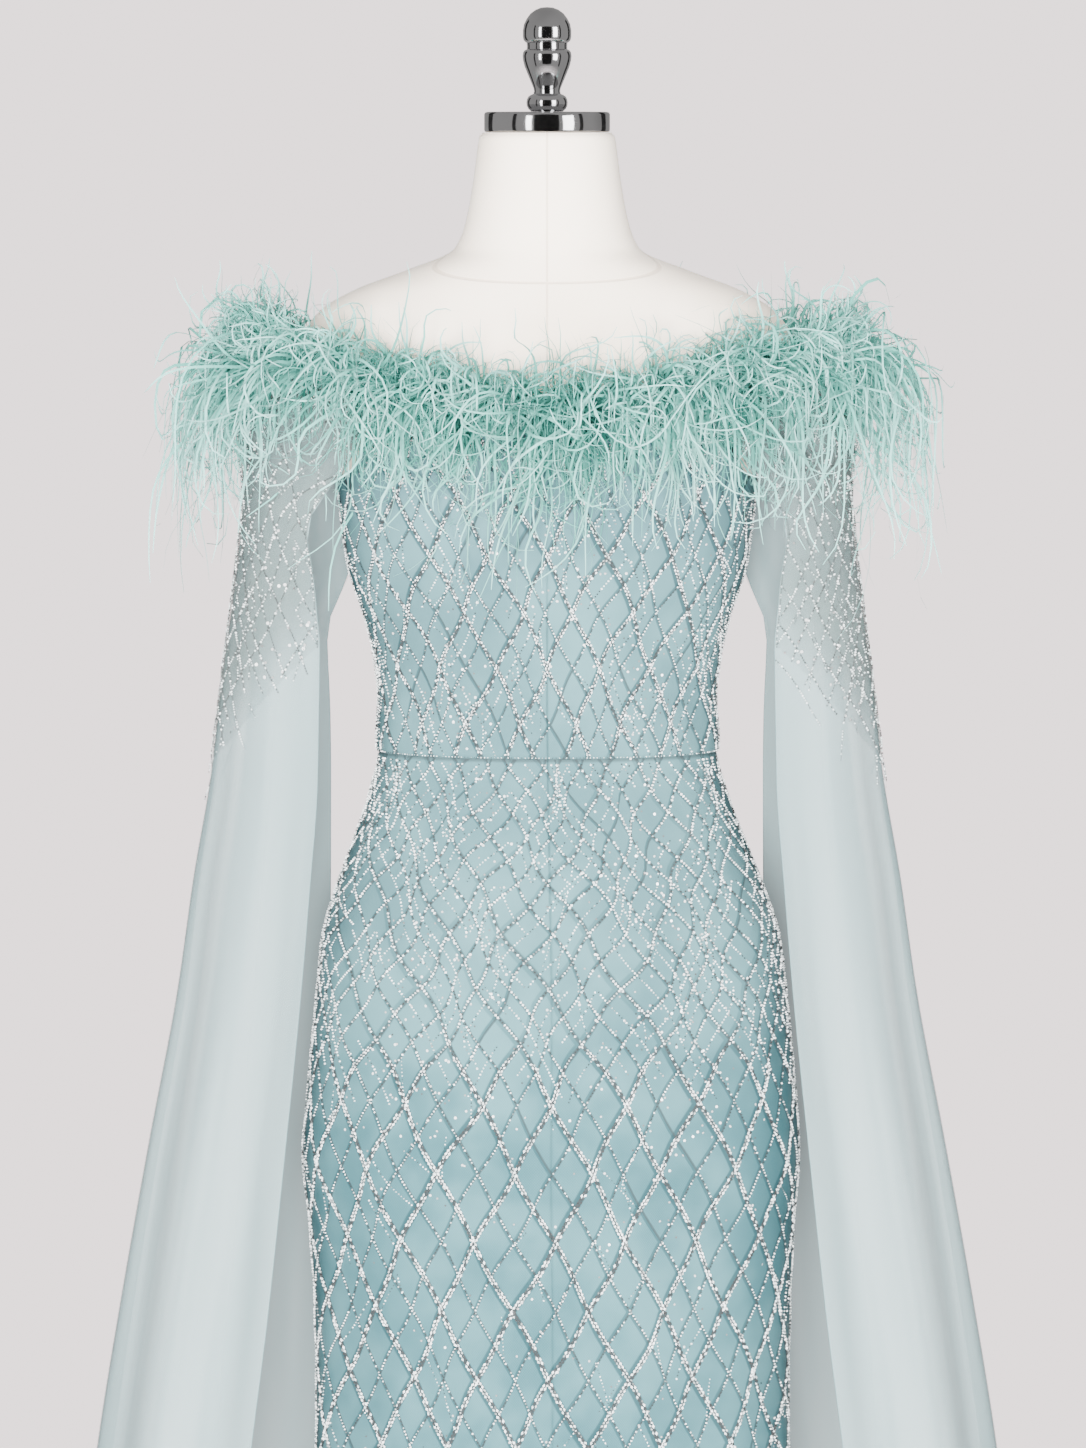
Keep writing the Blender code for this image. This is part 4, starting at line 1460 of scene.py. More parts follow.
def panel(cloth, place, quarter, settings):
    """One panel of the gown: a thin shell on its solid's form, drawn in a little at its seams."""
    even = np.linspace(0, QUARTER, PANEL_COLUMNS + 1)
    turns = np.concatenate((even[:1], [SEAM_WIDTH], even[1:-1], [QUARTER - SEAM_WIDTH], even[-1:]))
    turns += quarter * QUARTER
    heights = cloth.heights(turns)
    grid = np.broadcast_to(turns, heights.shape)
    seam = np.zeros(heights.shape)
    shown = smooth_step((heights[:, (0, -1)] - 0.88) / 0.04)
    seam[:, (0, -1)] = -SEAM_DIP * shown * smooth_step((1.19 - heights[:, (0, -1)]) / 0.03)
    points = cloth.surface(heights, grid, EASE + NET_WALL + seam)
    maps = {
        "cloth": np.stack((grid * 0.14, heights), axis=-1),
        "lattice": lattice_map(cloth, heights, grid),
    }
    name = f"{cloth.name}_{place}"
    mesh = grid_mesh(f"{name}_net", points, maps)
    piece = show(f"{name}_net", mesh, finish_of("net", gown_finish, settings))
    thicken(piece, NET_WALL - GAP)
    seat(piece, "beaded_net", name)
    width, length, area = CUTS[f"{cloth.name}_{place.split('_')[0]}"]


def make_bodice(settings):
    for place, quarter in PANELS:
        panel(BODICE, place, quarter, settings)


def make_skirt(settings):
    for place, quarter in PANELS:
        panel(SKIRT, place, quarter, settings)


# Clusters of sequins: turn in degrees, height, how far each of the two spreads, and how many
SKIRT_SPOTS = (
    (-25, 0.935, 9.0, 0.070, 90),
    (30, 0.935, 9.0, 0.070, 95),
    (-32, 0.850, 11.0, 0.060, 70),
    (37, 0.850, 11.0, 0.060, 80),
    (-14, 1.010, 8.0, 0.030, 30),
    (17, 1.000, 8.0, 0.030, 30),
    (0, 0.800, 30.0, 0.110, 170),
    (0, 0.450, 50.0, 0.200, 150),
    (150, 0.930, 14.0, 0.080, 110),
    (208, 0.930, 14.0, 0.080, 110),
    (180, 0.550, 60.0, 0.220, 220),
)
BODICE_SPOTS = (
    (-30, 1.100, 8.0, 0.020, 55),
    (31, 1.100, 8.0, 0.020, 60),
    (0, 1.190, 30.0, 0.030, 110),
    (180, 1.170, 45.0, 0.040, 150),
)


def make_lattice(settings):
    """All beads and sequins of the bodice and skirt."""
    chance = np.random.default_rng(settings.seed)
    skirt, bodice = gown_groups(), gown_groups()
    lay_lattice(skirt, SKIRT, 0.020, SKIRT_KINDS, chance)
    lay_sprigs(skirt, SKIRT, 0.03, 640, (0.014, 0.040), chance)
    lay_lattice(bodice, BODICE, BODICE_HEM + 0.003, BODICE_KINDS, chance)
    lay_sprigs(bodice, BODICE, BODICE_HEM + 0.004, 420, (0.010, 0.028), chance)
    for side, first in (("front", -QUARTER), ("back", QUARTER)):
        turns = np.linspace(first, first + 2 * QUARTER, 120)
        level = np.full(turns.shape, BODICE_HEM + 0.0012)
        waist = bodice_points(level, turns, EASE + NET_WALL + WAIST_LIFT)
        bodice[side, False].add(waist, directions(bodice_points, level, turns), 0.62, 0.0)
    string_gown_beads("skirt_beads", skirt, 21, settings)
    string_gown_beads("bodice_beads", bodice, 41, settings)
    scatter_sequins(SKIRT, SKIRT_SPOTS, 61, settings, chance)
    scatter_sequins(BODICE, BODICE_SPOTS, 62, settings, chance)


def sleeve_directions(height, along):
    return directions(cape_points, height, along, 0.004)


def flipped(points, right):
    """Points as they are for the left sleeve, or mirrored for the right one."""
    if not right:
        return points
    return points * np.array((-1.0, 1.0, 1.0))


# How far above its lower edge the sleeve net is full
NET_FADE = 0.07
SLEEVE_COLUMNS = 84
SHEER_WALL = 0.0006
CAPE_STRIPS = ("front", "outer_front", "outer_back", "back")


def sleeve_sheet(kind, side, heights, places, outset, edge, settings):
    """A sheet of one sleeve, the chiffon or the net, with its edge and turned-back part marked; the
    chiffon paints the turned-back part in shade.
    """
    name = f"{kind}_{side}"
    right = side == "right"
    points = flipped(cape_points(heights, places, outset), right)
    flat = np.stack((places * 0.40, heights), axis=-1)
    # The turned-back part, which the chiffon's material darkens as painted shade
    turned = smooth_step((places - 0.80) / 0.10)
    if right:
        points, flat, edge, turned = (part[:, ::-1] for part in (points, flat, edge, turned))
    if kind == "sleeve":
        maker, slot, rests_on = chiffon_finish, "chiffon", ["feather_tape"]
        nodes = [f"{name}_{strip}" for strip in CAPE_STRIPS]
    else:
        maker, slot, rests_on = sleeve_net_finish, "sleeve_net", [f"sleeve_{side}_cloth"]
        nodes = [name]
    attributes = {"edge": edge, "turned": turned}
    mesh = grid_mesh(name, points, {"cloth": flat}, attributes=attributes)
    piece = show(f"{name}_cloth", mesh, finish_of(kind, maker, settings))
    thicken(piece, SHEER_WALL)
    seat(piece, slot, *nodes)


def make_sleeves(settings):
    """The two chiffon cape sleeves, and the net that lies over their upper part."""
    along = np.linspace(0, 1, SLEEVE_COLUMNS + 1)
    top = cape_top(np.clip(along, ALONG_STEP, 1 - ALONG_STEP))
    heights = top + (SLEEVE_HEM - top) * np.linspace(0, 1, 71)[:, None]
    places = np.broadcast_to(along, heights.shape)
    hem = np.maximum(
        smooth_step((0.009 - np.minimum(places, 1 - places)) / 0.004),
        smooth_step((0.064 - heights) / 0.003),
    )
    net_heights = top + (net_edge(along) - top) * np.linspace(0, 1, 31)[:, None]
    net_places = np.broadcast_to(along, net_heights.shape)
    fade = smooth_step((net_heights - net_edge(along)) / NET_FADE)
    over = GAP + CHIFFON_WALL
    for side in ("left", "right"):
        sleeve_sheet("sleeve", side, heights, places, 0.0, hem, settings)
        sleeve_sheet("sleeve_net", side, net_heights, net_places, over, fade, settings)


# The sleeves' lattice: diamonds from edge to edge, and the height of one
SLEEVE_DIAMONDS = 7.0
SLEEVE_DIAMOND_HEIGHT = 0.056


def on_sleeve(height, along, right):
    """Points just over the net of a sleeve, and the directions outwards there."""
    points = cape_points(height, along, GAP + CHIFFON_WALL + STRAND_LIFT)
    return flipped(points, right), flipped(sleeve_directions(height, along), right)


def sleeve_strands(right, chance):
    """The strands of a sleeve: crossing ones, sprigs that end free, and one down each edge."""
    strands = Strands()
    drop = np.arange(0.004, 0.36, 0.004)
    cell = np.floor(drop / (SLEEVE_DIAMOND_HEIGHT / 2)).astype(int)
    for way in (1, -1):
        for number in np.arange(-7, 15, 0.5):
            sway = 0.10 * np.sin(drop * 47 + number * 2.3)
            along = (number + way * drop / SLEEVE_DIAMOND_HEIGHT + sway) / SLEEVE_DIAMONDS
            inside = (along > 0.012) & (along < 0.988)
            height = cape_top(np.clip(along, ALONG_STEP, 1 - ALONG_STEP)) - drop
            inside &= height > net_edge(along) - chance.uniform(-0.036, 0.030)
            whole = number == round(number)
            inside &= (chance.random(cell.max() + 2) > (0.0 if whole else 0.10))[cell]
            points, normals = on_sleeve(height, along, right)
            for start, stop in runs(inside):
                strands.add(points[start:stop], normals[start:stop], 1.0 if whole else 0.85, 0.0)
    run = np.linspace(0, 1, 7)
    for _ in range(70):
        place = chance.uniform(0.03, 0.97)
        start = net_edge(place) + chance.uniform(-0.016, 0.15)
        path = start - run * chance.uniform(0.008, 0.026)
        along = place + run * chance.uniform(-0.06, 0.06)
        if along.min() >= 0.015 and along.max() <= 0.985:
            strands.add(*on_sleeve(path, along, right), 0.7, 0.0)
    for edge in (0.016, 0.984):
        path = np.linspace(net_edge(edge), cape_top(edge) - 0.005, 60)
        strands.add(*on_sleeve(path, edge + 0 * path, right), 0.8, 0.0)
    return strands


def sleeve_spots(right, chance):
    """Where the sequins of a sleeve are sewn: fewer and fewer above the net's lower edge."""
    points, normals = [], []
    for _ in range(120):
        place = chance.uniform(0.03, 0.97)
        height = net_edge(place) + abs(chance.normal(0, 0.10))
        if height < cape_top(place) - 0.01:
            point, normal = on_sleeve(height, np.array(place), right)
            points.append(point)
            normals.append(normal)
    return np.array(points).reshape(-1, 3), np.array(normals).reshape(-1, 3)


def make_sleeve_beads(settings):
    """The strands on the sleeve net, whose sprigs run out over the chiffon below its edge."""
    pitch, size = settings.fine_pitch * 0.80, settings.bead_size * 1.06
    material = finish_of("sleeve beads", lambda s: bead_finish(s, 0.45, 0.88), settings)
    for side, seed in (("left", 81), ("right", 91)):
        right = side == "right"
        chance = np.random.default_rng(settings.seed + seed)
        strands = sleeve_strands(right, chance)
        points, normals = sleeve_spots(right, chance)
        string_beads(f"sleeve_beads_{side}", strands, pitch, size, seed, material, settings)
        name = f"sleeve_sequins_{side}"
        sew_sequins(name, points, normals, settings.sequin_size * 1.25, seed, settings)


# The feather trim

# Turn in degrees, and how far the barbs reach up, out and down there
REACHES = np.array(
    (
        (0, 0.058, 0.078, 0.108),
        (30, 0.056, 0.074, 0.098),
        (55, 0.056, 0.056, 0.116),
        (80, 0.052, 0.038, 0.136),
        (100, 0.052, 0.038, 0.136),
        (125, 0.056, 0.056, 0.116),
        (150, 0.048, 0.072, 0.095),
        (180, 0.050, 0.074, 0.100),
    )
)
# Beyond this depth the barbs bend back, and they gain no more than the room after it
BARBS_SOFTEN = 0.165
BARBS_ROOM = 0.034
# The same at the shoulders
BARBS_SIDE = 0.215
BARBS_SIDE_ROOM = 0.085
# Which reach a tuft has, the slopes it starts and ends with in degrees, and its share of all
Tuft = namedtuple("Tuft", "column first last share")
DOWN_ROWS = (Tuft(1, 66, 4, 0.32), Tuft(2, 24, -46, 0.34), Tuft(3, -30, -82, 0.34))
PLUME_ROWS = (Tuft(1, 74, -52, 0.28), Tuft(2, 46, -80, 0.32), Tuft(3, -6, -100, 0.40))
# How barbs differ: points on each, barbs in a tuft, shortest, usual and longest share of the
# reach, width, spread of slopes, of sideways lean and of curl in degrees, and tone
Barb = namedtuple("Barb", "points tuft short usual long width slope lean curl tone")
DOWN = Barb(7, 12, 0.28, 0.58, 0.95, 0.0013, 16, 26, 60, 0.02)
PLUME = Barb(13, 6, 0.50, 1.00, 1.60, 0.0025, 13, 28, 110, 0.76)


# How tufts of one row differ in their first and last slopes, in degrees, and in tone
TUFT_FIRST = 18
TUFT_LAST = 34
TUFT_TONE = 0.13
# How much paler the barbs are at the shoulders
SHOULDER_TONE = 0.66
# How far tips flick and barbs wave, in degrees
FLICK = 110
WAVE = 32


def held_in(offsets, soften, room):
    """Offsets whose part beyond soften gains no more than the room."""
    distance = np.abs(offsets)
    beyond = np.maximum(distance - soften, 0.0) / room
    return np.sign(offsets) * (np.minimum(distance, soften) + room * np.tanh(beyond))


def barb_paths(kind, rows, start, stop, count, chance):
    """Paths of one kind of feather barb on a stretch of the tape, tuft by tuft."""
    tufts = count // kind.tuft
    turn = chance.uniform(start, stop, tufts)
    shares = np.array([row.share for row in rows])
    row = chance.choice(len(rows), tufts, p=shares / shares.sum())
    columns = np.array([r.column for r in rows])[row]
    first = np.radians(np.array([r.first for r in rows])[row] + chance.normal(0, TUFT_FIRST, tufts))
    last = np.radians(np.array([r.last for r in rows])[row] + chance.normal(0, TUFT_LAST, tufts))
    from_front = np.degrees(turn_from_front(turn))
    reach = np.zeros(tufts)
    for column in (1, 2, 3):
        reach = np.where(columns == column, read(REACHES, from_front, column), reach)
    lean = np.radians(chance.normal(0, kind.lean, tufts))
    curl = np.radians(chance.normal(0, kind.curl, tufts))
    tone = chance.normal(kind.tone, TUFT_TONE, tufts)
    drop = (row - 1) * 0.006 + chance.normal(0, 0.003, tufts)

    def spread(values):
        return np.repeat(values, kind.tuft)

    total = tufts * kind.tuft
    turn = np.clip(spread(turn) + chance.normal(0, 0.012, total), start, stop)
    clumps = 1 + 0.17 * np.sin(9 * turn + 1.3) + 0.12 * np.sin(17 * turn + 0.6)
    length = spread(reach) * chance.triangular(kind.short, kind.usual, kind.long, total) * clumps
    first = spread(first) + np.radians(chance.normal(0, kind.slope, total))
    last = spread(last) + np.radians(chance.normal(0, kind.slope * 1.7, total))
    lean = spread(lean) + np.radians(chance.normal(0, kind.lean * 0.7, total))
    curl = spread(curl) + np.radians(chance.normal(0, kind.curl * 0.7, total))
    flick = np.radians(chance.normal(0, FLICK, total))
    wave = np.radians(chance.normal(0, WAVE, total))
    beat = chance.uniform(0, 2 * math.pi, total)
    beside = np.sin(turn) ** 4 * SHOULDER_TONE
    tone = np.clip(spread(tone) + beside + chance.normal(0, 0.12, total), 0, 1)
    root = binding_points(turn, spread(drop), BINDING_THICKNESS / 2)
    ahead = binding_points(turn + 0.02, 0.0 * turn, 0.0)
    behind = binding_points(turn - 0.02, 0.0 * turn, 0.0)
    side = ahead - behind
    side[:, 2] = 0
    side /= np.linalg.norm(side, axis=1, keepdims=True)
    outwards = np.stack((side[:, 1], -side[:, 0], 0 * turn), axis=-1)
    up = np.array((0.0, 0.0, 1.0))
    place = root.copy()
    points = [place.copy()]
    steps = kind.points - 1
    for i in range(steps):
        part = (i + 0.5) / steps
        slope = first + (last - first) * part**0.8 + flick * part**3
        slope = slope + wave * np.sin(beat + 5.5 * part)
        yaw = lean + curl * part**1.6 + wave * np.cos(beat + 4.5 * part)
        level = outwards * np.cos(yaw)[:, None] + side * np.sin(yaw)[:, None]
        heading = level * np.cos(slope)[:, None] + up * np.sin(slope)[:, None]
        place = place + heading * (length / steps)[:, None]
        points.append(place.copy())
    paths = np.stack(points, axis=1)
    paths[..., 1] = held_in(paths[..., 1], BARBS_SOFTEN, BARBS_ROOM)
    paths[..., 0] = held_in(paths[..., 0], BARBS_SIDE, BARBS_SIDE_ROOM)
    along = np.broadcast_to(np.linspace(0, 1, kind.points), paths.shape[:2])
    width = kind.width * ((1 - along) ** 0.6 * 0.85 + 0.15)
    width = width * chance.uniform(0.7, 1.2, total)[:, None]
    tilt = np.broadcast_to(chance.uniform(0, math.pi, total)[:, None], along.shape)
    tones = np.broadcast_to(tone[:, None], along.shape)
    return paths, {"along": along, "width": width, "tilt": tilt, "tone": tones}


def make_feathers(settings):
    """The tape round the neckline, and the barbs of its four stretches."""
    turns = np.linspace(0, 2 * math.pi, 180, endpoint=False)
    half = BINDING_THICKNESS / 2
    high = BINDING_HEIGHT / 2
    section = ((-high, -half), (-high, half), (high, half), (high, -half), (-high, -half))
    rows = [binding_points(turns, drop, outset) for drop, outset in section]
    tape = grid_mesh("feather_tape", np.stack(rows), {}, closed=True)
    tape.shade_flat()
    seat(show("feather_tape", tape, finish_of("tape", tape_finish, settings)), "feather")
    tree = bpy.data.node_groups.get("barbs on paths") or barbs_on_paths()
    stretches = (
        ("feather_front", -SHOULDER_FROM, SHOULDER_FROM, 0.34),
        ("feather_left", SHOULDER_FROM, SHOULDER_TO, 0.19),
        ("feather_back", SHOULDER_TO, 2 * math.pi - SHOULDER_TO, 0.26),
        ("feather_right", 2 * math.pi - SHOULDER_TO, 2 * math.pi - SHOULDER_FROM, 0.19),
    )
    for place, (name, start, stop, share) in enumerate(stretches):
        chance = np.random.default_rng(settings.seed + 100 + place)
        paths, parts = [], {}
        for kind, rows, count in (
            (DOWN, DOWN_ROWS, settings.down_count),
            (PLUME, PLUME_ROWS, settings.plume_count),
        ):
            made, attributes = barb_paths(kind, rows, start, stop, int(count * share), chance)
            paths += list(made)
            for key, values in attributes.items():
                parts.setdefault(key, []).append(values.reshape(-1))
        carrier = path_mesh(name, paths, parts)
        inputs = {"Material": finish_of("feather", feather_finish, settings)}
        mesh = grow(name, carrier, tree, inputs)
        mesh.shade_smooth()
        seat(show(f"{name}_barbs", mesh), "feather", name)


# The dress form

FORM_COLUMNS = 112
# Stretches of the form from the top down: where each starts and ends, and its rows
FORM_STRETCHES = ((FORM_TOP, 1.5085, 3), (1.5085, 1.34, 63), (1.34, FORM_BOTTOM, 43))


def make_form(settings):
    """The linen-covered form, its chrome cap and finial, and the stand below it."""
    turns = np.arange(FORM_COLUMNS) * 2 * math.pi / FORM_COLUMNS
    stretches = [np.linspace(top, bottom, rows + 1)[:-1] for top, bottom, rows in FORM_STRETCHES]
    heights = np.concatenate((*stretches, [FORM_BOTTOM]))
    grid = figure_points(heights[:, None], turns[None], 0.0)
    top = grid[:1] * 0 + np.array((0.0, 0.0, FORM_TOP))
    inner_top = top + (grid[:1] - top) * 0.5
    foot = grid[-1:] * 0 + np.array((0.003, 0.0, FORM_BOTTOM))
    inner_foot = foot + (grid[-1:] - foot) * 0.5
    points = np.concatenate((inner_top, grid, inner_foot))
    around = np.broadcast_to(turns * 0.11, points.shape[:2])
    flat = np.stack((around, points[..., 2]), axis=-1)
    mesh = grid_mesh("form_linen", points, {"cloth": flat}, closed=True)
    mesh = with_lids(mesh, FORM_COLUMNS, len(points))
    piece = show("form_linen", mesh, finish_of("linen", linen_finish, settings))
    seat(piece, "linen", "form_torso")
    chrome = finish_of("chrome", lambda s: chrome_finish("chrome", 0.05, s.chrome), settings)
    steel = finish_of("steel", lambda s: chrome_finish("steel", 0.26, s.chrome), settings)
    turned = (
        ("cap_chrome", CAP_PROFILE, chrome, "chrome", "neck_cap"),
        ("finial_chrome", FINIAL_PROFILE, chrome, "chrome", "finial"),
        ("base_steel", BASE_PROFILE, steel, "stand", "stand_base"),
        ("pole_steel", POLE_PROFILE, steel, "stand", "stand_pole"),
    )
    for name, profile, material, slot, node in turned:
        piece = show(name, turned_mesh(name, profile), material)
        piece.data.set_sharp_from_angle(angle=math.radians(35))
        seat(piece, slot, node)


# The stage

# What the chrome reflects: bright strips and black cards, each with its azimuth and its width
WINDOWS = (("window_left", math.radians(-34), 0.75), ("window_right", math.radians(40), 1.5))
DARK_CARDS = (
    ("card_front", math.radians(-1), 2.3),
    ("card_left", math.radians(-128), 0.8),
    ("card_right", math.radians(128), 0.8),
    ("card_far_left", math.radians(-63), 0.35),
    ("card_far_right", math.radians(66), 0.35),
)
WINDOW_DISTANCE = 4.2
WINDOW_MIDDLE = 1.7
WINDOW_HEIGHT = 3.0
CARD_DISTANCE = 2.7
CARD_HEIGHT = 2.9
# Where each light stands, and its width and height
KEY_LIGHT = ((-0.3, -4.6, 1.05), (1.6, 1.6))
BACK_LIGHT = ((0.7, 4.3, 2.6), (2.4, 2.4))
LIGHTS_LOOK_AT = (0.0, 0.0, 1.1)
FLOOR_RADII = (0.0, 0.5, 1.0, 1.5, 2.0, 2.7)
FLOOR_SIDES = 96
FLOOR_HEIGHT = -0.0005
BACKDROP_RADIUS = 24.0
BACKDROP_STEPS = 24
BACKDROP_PROFILE = [
    (BACKDROP_RADIUS * math.sin(angle), BACKDROP_RADIUS * math.cos(angle))
    for angle in (math.pi * i / BACKDROP_STEPS for i in range(BACKDROP_STEPS + 1))
]


def hide_from(piece, *rays):
    """Leaves a piece or a light out of some kinds of ray."""
    for ray in rays:
        setattr(piece, f"visible_{ray}", False)


def add_light(name, place, size, power):
    """A soft light, so wide and so tall, that looks at the middle of the gown."""
    data = bpy.data.lights.new(name, "AREA")
    data.shape = "RECTANGLE"
    data.size, data.size_y = size
    data.energy = power
    light = bpy.data.objects.new(name, data)
    bpy.context.scene.collection.objects.link(light)
    light.location = place
    towards = Vector(LIGHTS_LOOK_AT) - Vector(place)
    light.rotation_euler = towards.to_track_quat("-Z", "Y").to_euler()
    return light


def add_card(name, azimuth, wide):
    """A black card beside the camera, seen only in what the chrome and the beads reflect."""
    middle = np.array((math.sin(azimuth), -math.cos(azimuth), 0.0)) * CARD_DISTANCE
    side = np.array((math.cos(azimuth), math.sin(azimuth), 0.0)) * wide / 2
    up = np.array((0.0, 0.0, CARD_HEIGHT))
    corners = (middle - side, middle + side, middle + side + up, middle - side + up)
    mesh = bpy.data.meshes.new(name)
    mesh.from_pydata([tuple(corner) for corner in corners], [], [(0, 1, 2, 3)])
    finish = Finish(name)
    black = finish.mix(finish.noise(3.0), (0.0, 0.0, 0.0, 1.0), (0.02, 0.02, 0.02, 1.0))
    card = show(name, mesh, finish.surface(black, 0.9))
    hide_from(card, "camera", "diffuse", "transmission", "shadow")


def backdrop_finish(settings):
    """An evenly lit pale backdrop."""
    finish = Finish("studio backdrop")
    glow = finish.node(
        "ShaderNodeEmission",
        sockets={"Color": settings.backdrop, "Strength": settings.backdrop_strength},
    )
    finish.tree.links.new(glow.outputs[0], finish.output.inputs["Surface"])
    return finish.material


def make_stage(settings):
    """A pale floor that fades into a pale backdrop, soft lights, and the photo's camera."""
    rings = np.array(FLOOR_RADII)[:, None]
    angles = (np.arange(FLOOR_SIDES) * 2 * math.pi / FLOOR_SIDES)[None]
    level = FLOOR_HEIGHT + 0 * rings
    points = np.stack(
        np.broadcast_arrays(rings * np.cos(angles), rings * np.sin(angles), level), axis=-1
    )
    floor = grid_mesh("floor", points, {}, closed=True)
    show("floor", floor, floor_finish(settings))
    backdrop = show("backdrop", turned_mesh("backdrop", BACKDROP_PROFILE, 48))
    backdrop.data.materials.append(backdrop_finish(settings))
    hide_from(backdrop, "diffuse", "glossy", "transmission", "shadow")
    world = bpy.data.worlds.new("studio")
    bpy.context.scene.world = world
    world.use_nodes = True
    room = world.node_tree.nodes["Background"]
    room.inputs["Color"].default_value = settings.room
    room.inputs["Strength"].default_value = settings.room_strength
    hide_from(add_light("key", *KEY_LIGHT, settings.key_power), "glossy")
    hide_from(add_light("back", *BACK_LIGHT, settings.back_power), "glossy")
    for name, azimuth, wide in WINDOWS:
        across = WINDOW_DISTANCE * math.sin(azimuth)
        place = (across, -WINDOW_DISTANCE * math.cos(azimuth), WINDOW_MIDDLE)
        add_light(name, place, (wide, WINDOW_HEIGHT), settings.fill_power * wide)
    for name, azimuth, wide in DARK_CARDS:
        add_card(name, azimuth, wide)

    target = np.array(VIEW_TARGET)
    away = np.array((0.0, -math.cos(VIEW_ELEVATION), math.sin(VIEW_ELEVATION)))
    data = bpy.data.cameras.new("camera")
    data.sensor_fit = "VERTICAL"
    data.sensor_width = SENSOR
    data.sensor_height = SENSOR
    data.lens = SENSOR * VIEW_DISTANCE / VIEW_HEIGHT
    data.clip_end = 60.0
    camera = bpy.data.objects.new("camera", data)
    bpy.context.scene.collection.objects.link(camera)
    camera.location = target + away * VIEW_DISTANCE
    camera.rotation_euler = (QUARTER - VIEW_ELEVATION, 0.0, 0.0)
    bpy.context.scene.camera = camera


# The add-on


def colour_property(name, description, default):
    return bpy.props.FloatVectorProperty(
        name=name,
        description=description,
        default=default,
        size=4,
        min=0.0,
        max=1.0,
        subtype="COLOR",
    )


def length_property(name, description, default):
    return bpy.props.FloatProperty(
        name=name, description=description, default=default, min=0.0001, unit="LENGTH", precision=5
    )


class GownSettings(bpy.types.PropertyGroup):
    """Sizes and colours that a user would change."""

    seed: bpy.props.IntProperty(name="Seed", description="Start of all chance", default=7)
    heavy_pitch: length_property("Heavy pitch", "Step between beads of a doubled strand", 0.00145)
    fine_pitch: length_property("Fine pitch", "Step between beads of a single strand", 0.0025)
    bead_size: length_property("Bead size", "Width of a seed bead", 0.0017)
    row_spacing: length_property("Row spacing", "Between a doubled strand's two rows", 0.0021)
    sequin_size: length_property("Sequin size", "Width of a sequin", 0.0021)
    down_count: bpy.props.IntProperty(
        name="Down", description="Short downy barbs in all", default=6600, min=100
    )
    plume_count: bpy.props.IntProperty(
        name="Plumes", description="Long curling barbs in all", default=3700, min=100
    )
    linen: colour_property("Linen", "The form's cover", (0.940, 0.820, 0.690, 1.0))
    linen_shaded: colour_property("Linen, shaded", "Soft marks", (0.910, 0.780, 0.640, 1.0))
    linen_seam: colour_property("Linen seam", "In the seams", (0.550, 0.420, 0.320, 1.0))
    chrome: colour_property("Chrome", "Cap, finial and stand", (0.560, 0.560, 0.570, 1.0))
    lining_pale: colour_property("Lining, lit", "Satin, lit", (0.072, 0.172, 0.188, 1.0))
    lining_deep: colour_property("Lining", "Satin in its plain colour", (0.033, 0.096, 0.110, 1.0))
    lining_shadow: colour_property("Lining, shaded", "Beside strands", (0.010, 0.032, 0.038, 1.0))
    net_thread: colour_property("Net thread", "Tulle over the satin", (0.190, 0.310, 0.320, 1.0))
    strand_thread: colour_property("Strand thread", "Under the beads", (0.030, 0.036, 0.038, 1.0))
    beads: colour_property("Beads", "Silver-lined glass", (0.660, 0.710, 0.710, 1.0))
    beads_silver: colour_property("Silver beads", "Beads in half light", (0.300, 0.335, 0.335, 1.0))
    beads_dark: colour_property("Beads, dark", "Beads in shade", (0.045, 0.045, 0.045, 1.0))
    chiffon: colour_property("Chiffon", "Sleeve, lit", (0.315, 0.420, 0.430, 1.0))
    chiffon_deep: colour_property("Chiffon, deep", "Sleeve, in folds", (0.215, 0.305, 0.315, 1.0))
    chiffon_shade: colour_property("Chiffon, shaded", "Turned back", (0.040, 0.070, 0.072, 1.0))
    chiffon_edge: colour_property("Chiffon edge", "Rolled hem", (0.090, 0.170, 0.180, 1.0))
    chiffon_cover: bpy.props.FloatProperty(
        name="Chiffon cover", description="Opacity of a layer", default=0.42, subtype="FACTOR"
    )
    net_pale: colour_property("Sleeve net, lit", "Net of the sleeve", (0.15, 0.20, 0.19, 1.0))
    net_deep: colour_property("Sleeve net", "Net of the sleeve", (0.08, 0.115, 0.11, 1.0))
    net_cover: bpy.props.FloatProperty(
        name="Net cover", description="Opacity of the sleeve net", default=0.24, subtype="FACTOR"
    )
    feather_deep: colour_property("Feather, quill", "At the root", (0.007, 0.050, 0.038, 1.0))
    feather: colour_property("Feather", "Along the barb", (0.026, 0.145, 0.114, 1.0))
    feather_pale: colour_property("Feather, pale", "Near the tip", (0.115, 0.390, 0.335, 1.0))
    feather_tip: colour_property("Feather, tip", "At the tip", (0.320, 0.620, 0.580, 1.0))
    feather_lit: colour_property("Feather, lit", "Light from behind", (0.045, 0.210, 0.170, 1.0))
    floor: colour_property("Floor", "Studio floor", (0.62, 0.56, 0.56, 1.0))
    backdrop: colour_property("Backdrop", "Studio backdrop", (1.0, 0.885, 0.885, 1.0))
    backdrop_strength: bpy.props.FloatProperty(
        name="Backdrop strength", description="Brightness of the backdrop", default=2.32
    )
    room: colour_property("Room", "Light from all round", (1.0, 0.98, 0.965, 1.0))
    room_strength: bpy.props.FloatProperty(
        name="Room strength", description="Brightness of the room", default=0.43
    )
    key_power: bpy.props.FloatProperty(
        name="Key light", description="Power of the main light", default=1340.0, unit="POWER"
    )
    fill_power: bpy.props.FloatProperty(
        name="Window lights", description="Power for each metre of width", default=95.0, unit="POWER"
    )
    back_power: bpy.props.FloatProperty(
        name="Back light", description="Power of the rear light", default=470.0, unit="POWER"
    )


class GownStep:
    """What the gown's operators share."""

    bl_options = {"REGISTER", "UNDO"}
    make = None

    def execute(self, context):
        type(self).make(context.scene.evening_gown)
        return {"FINISHED"}


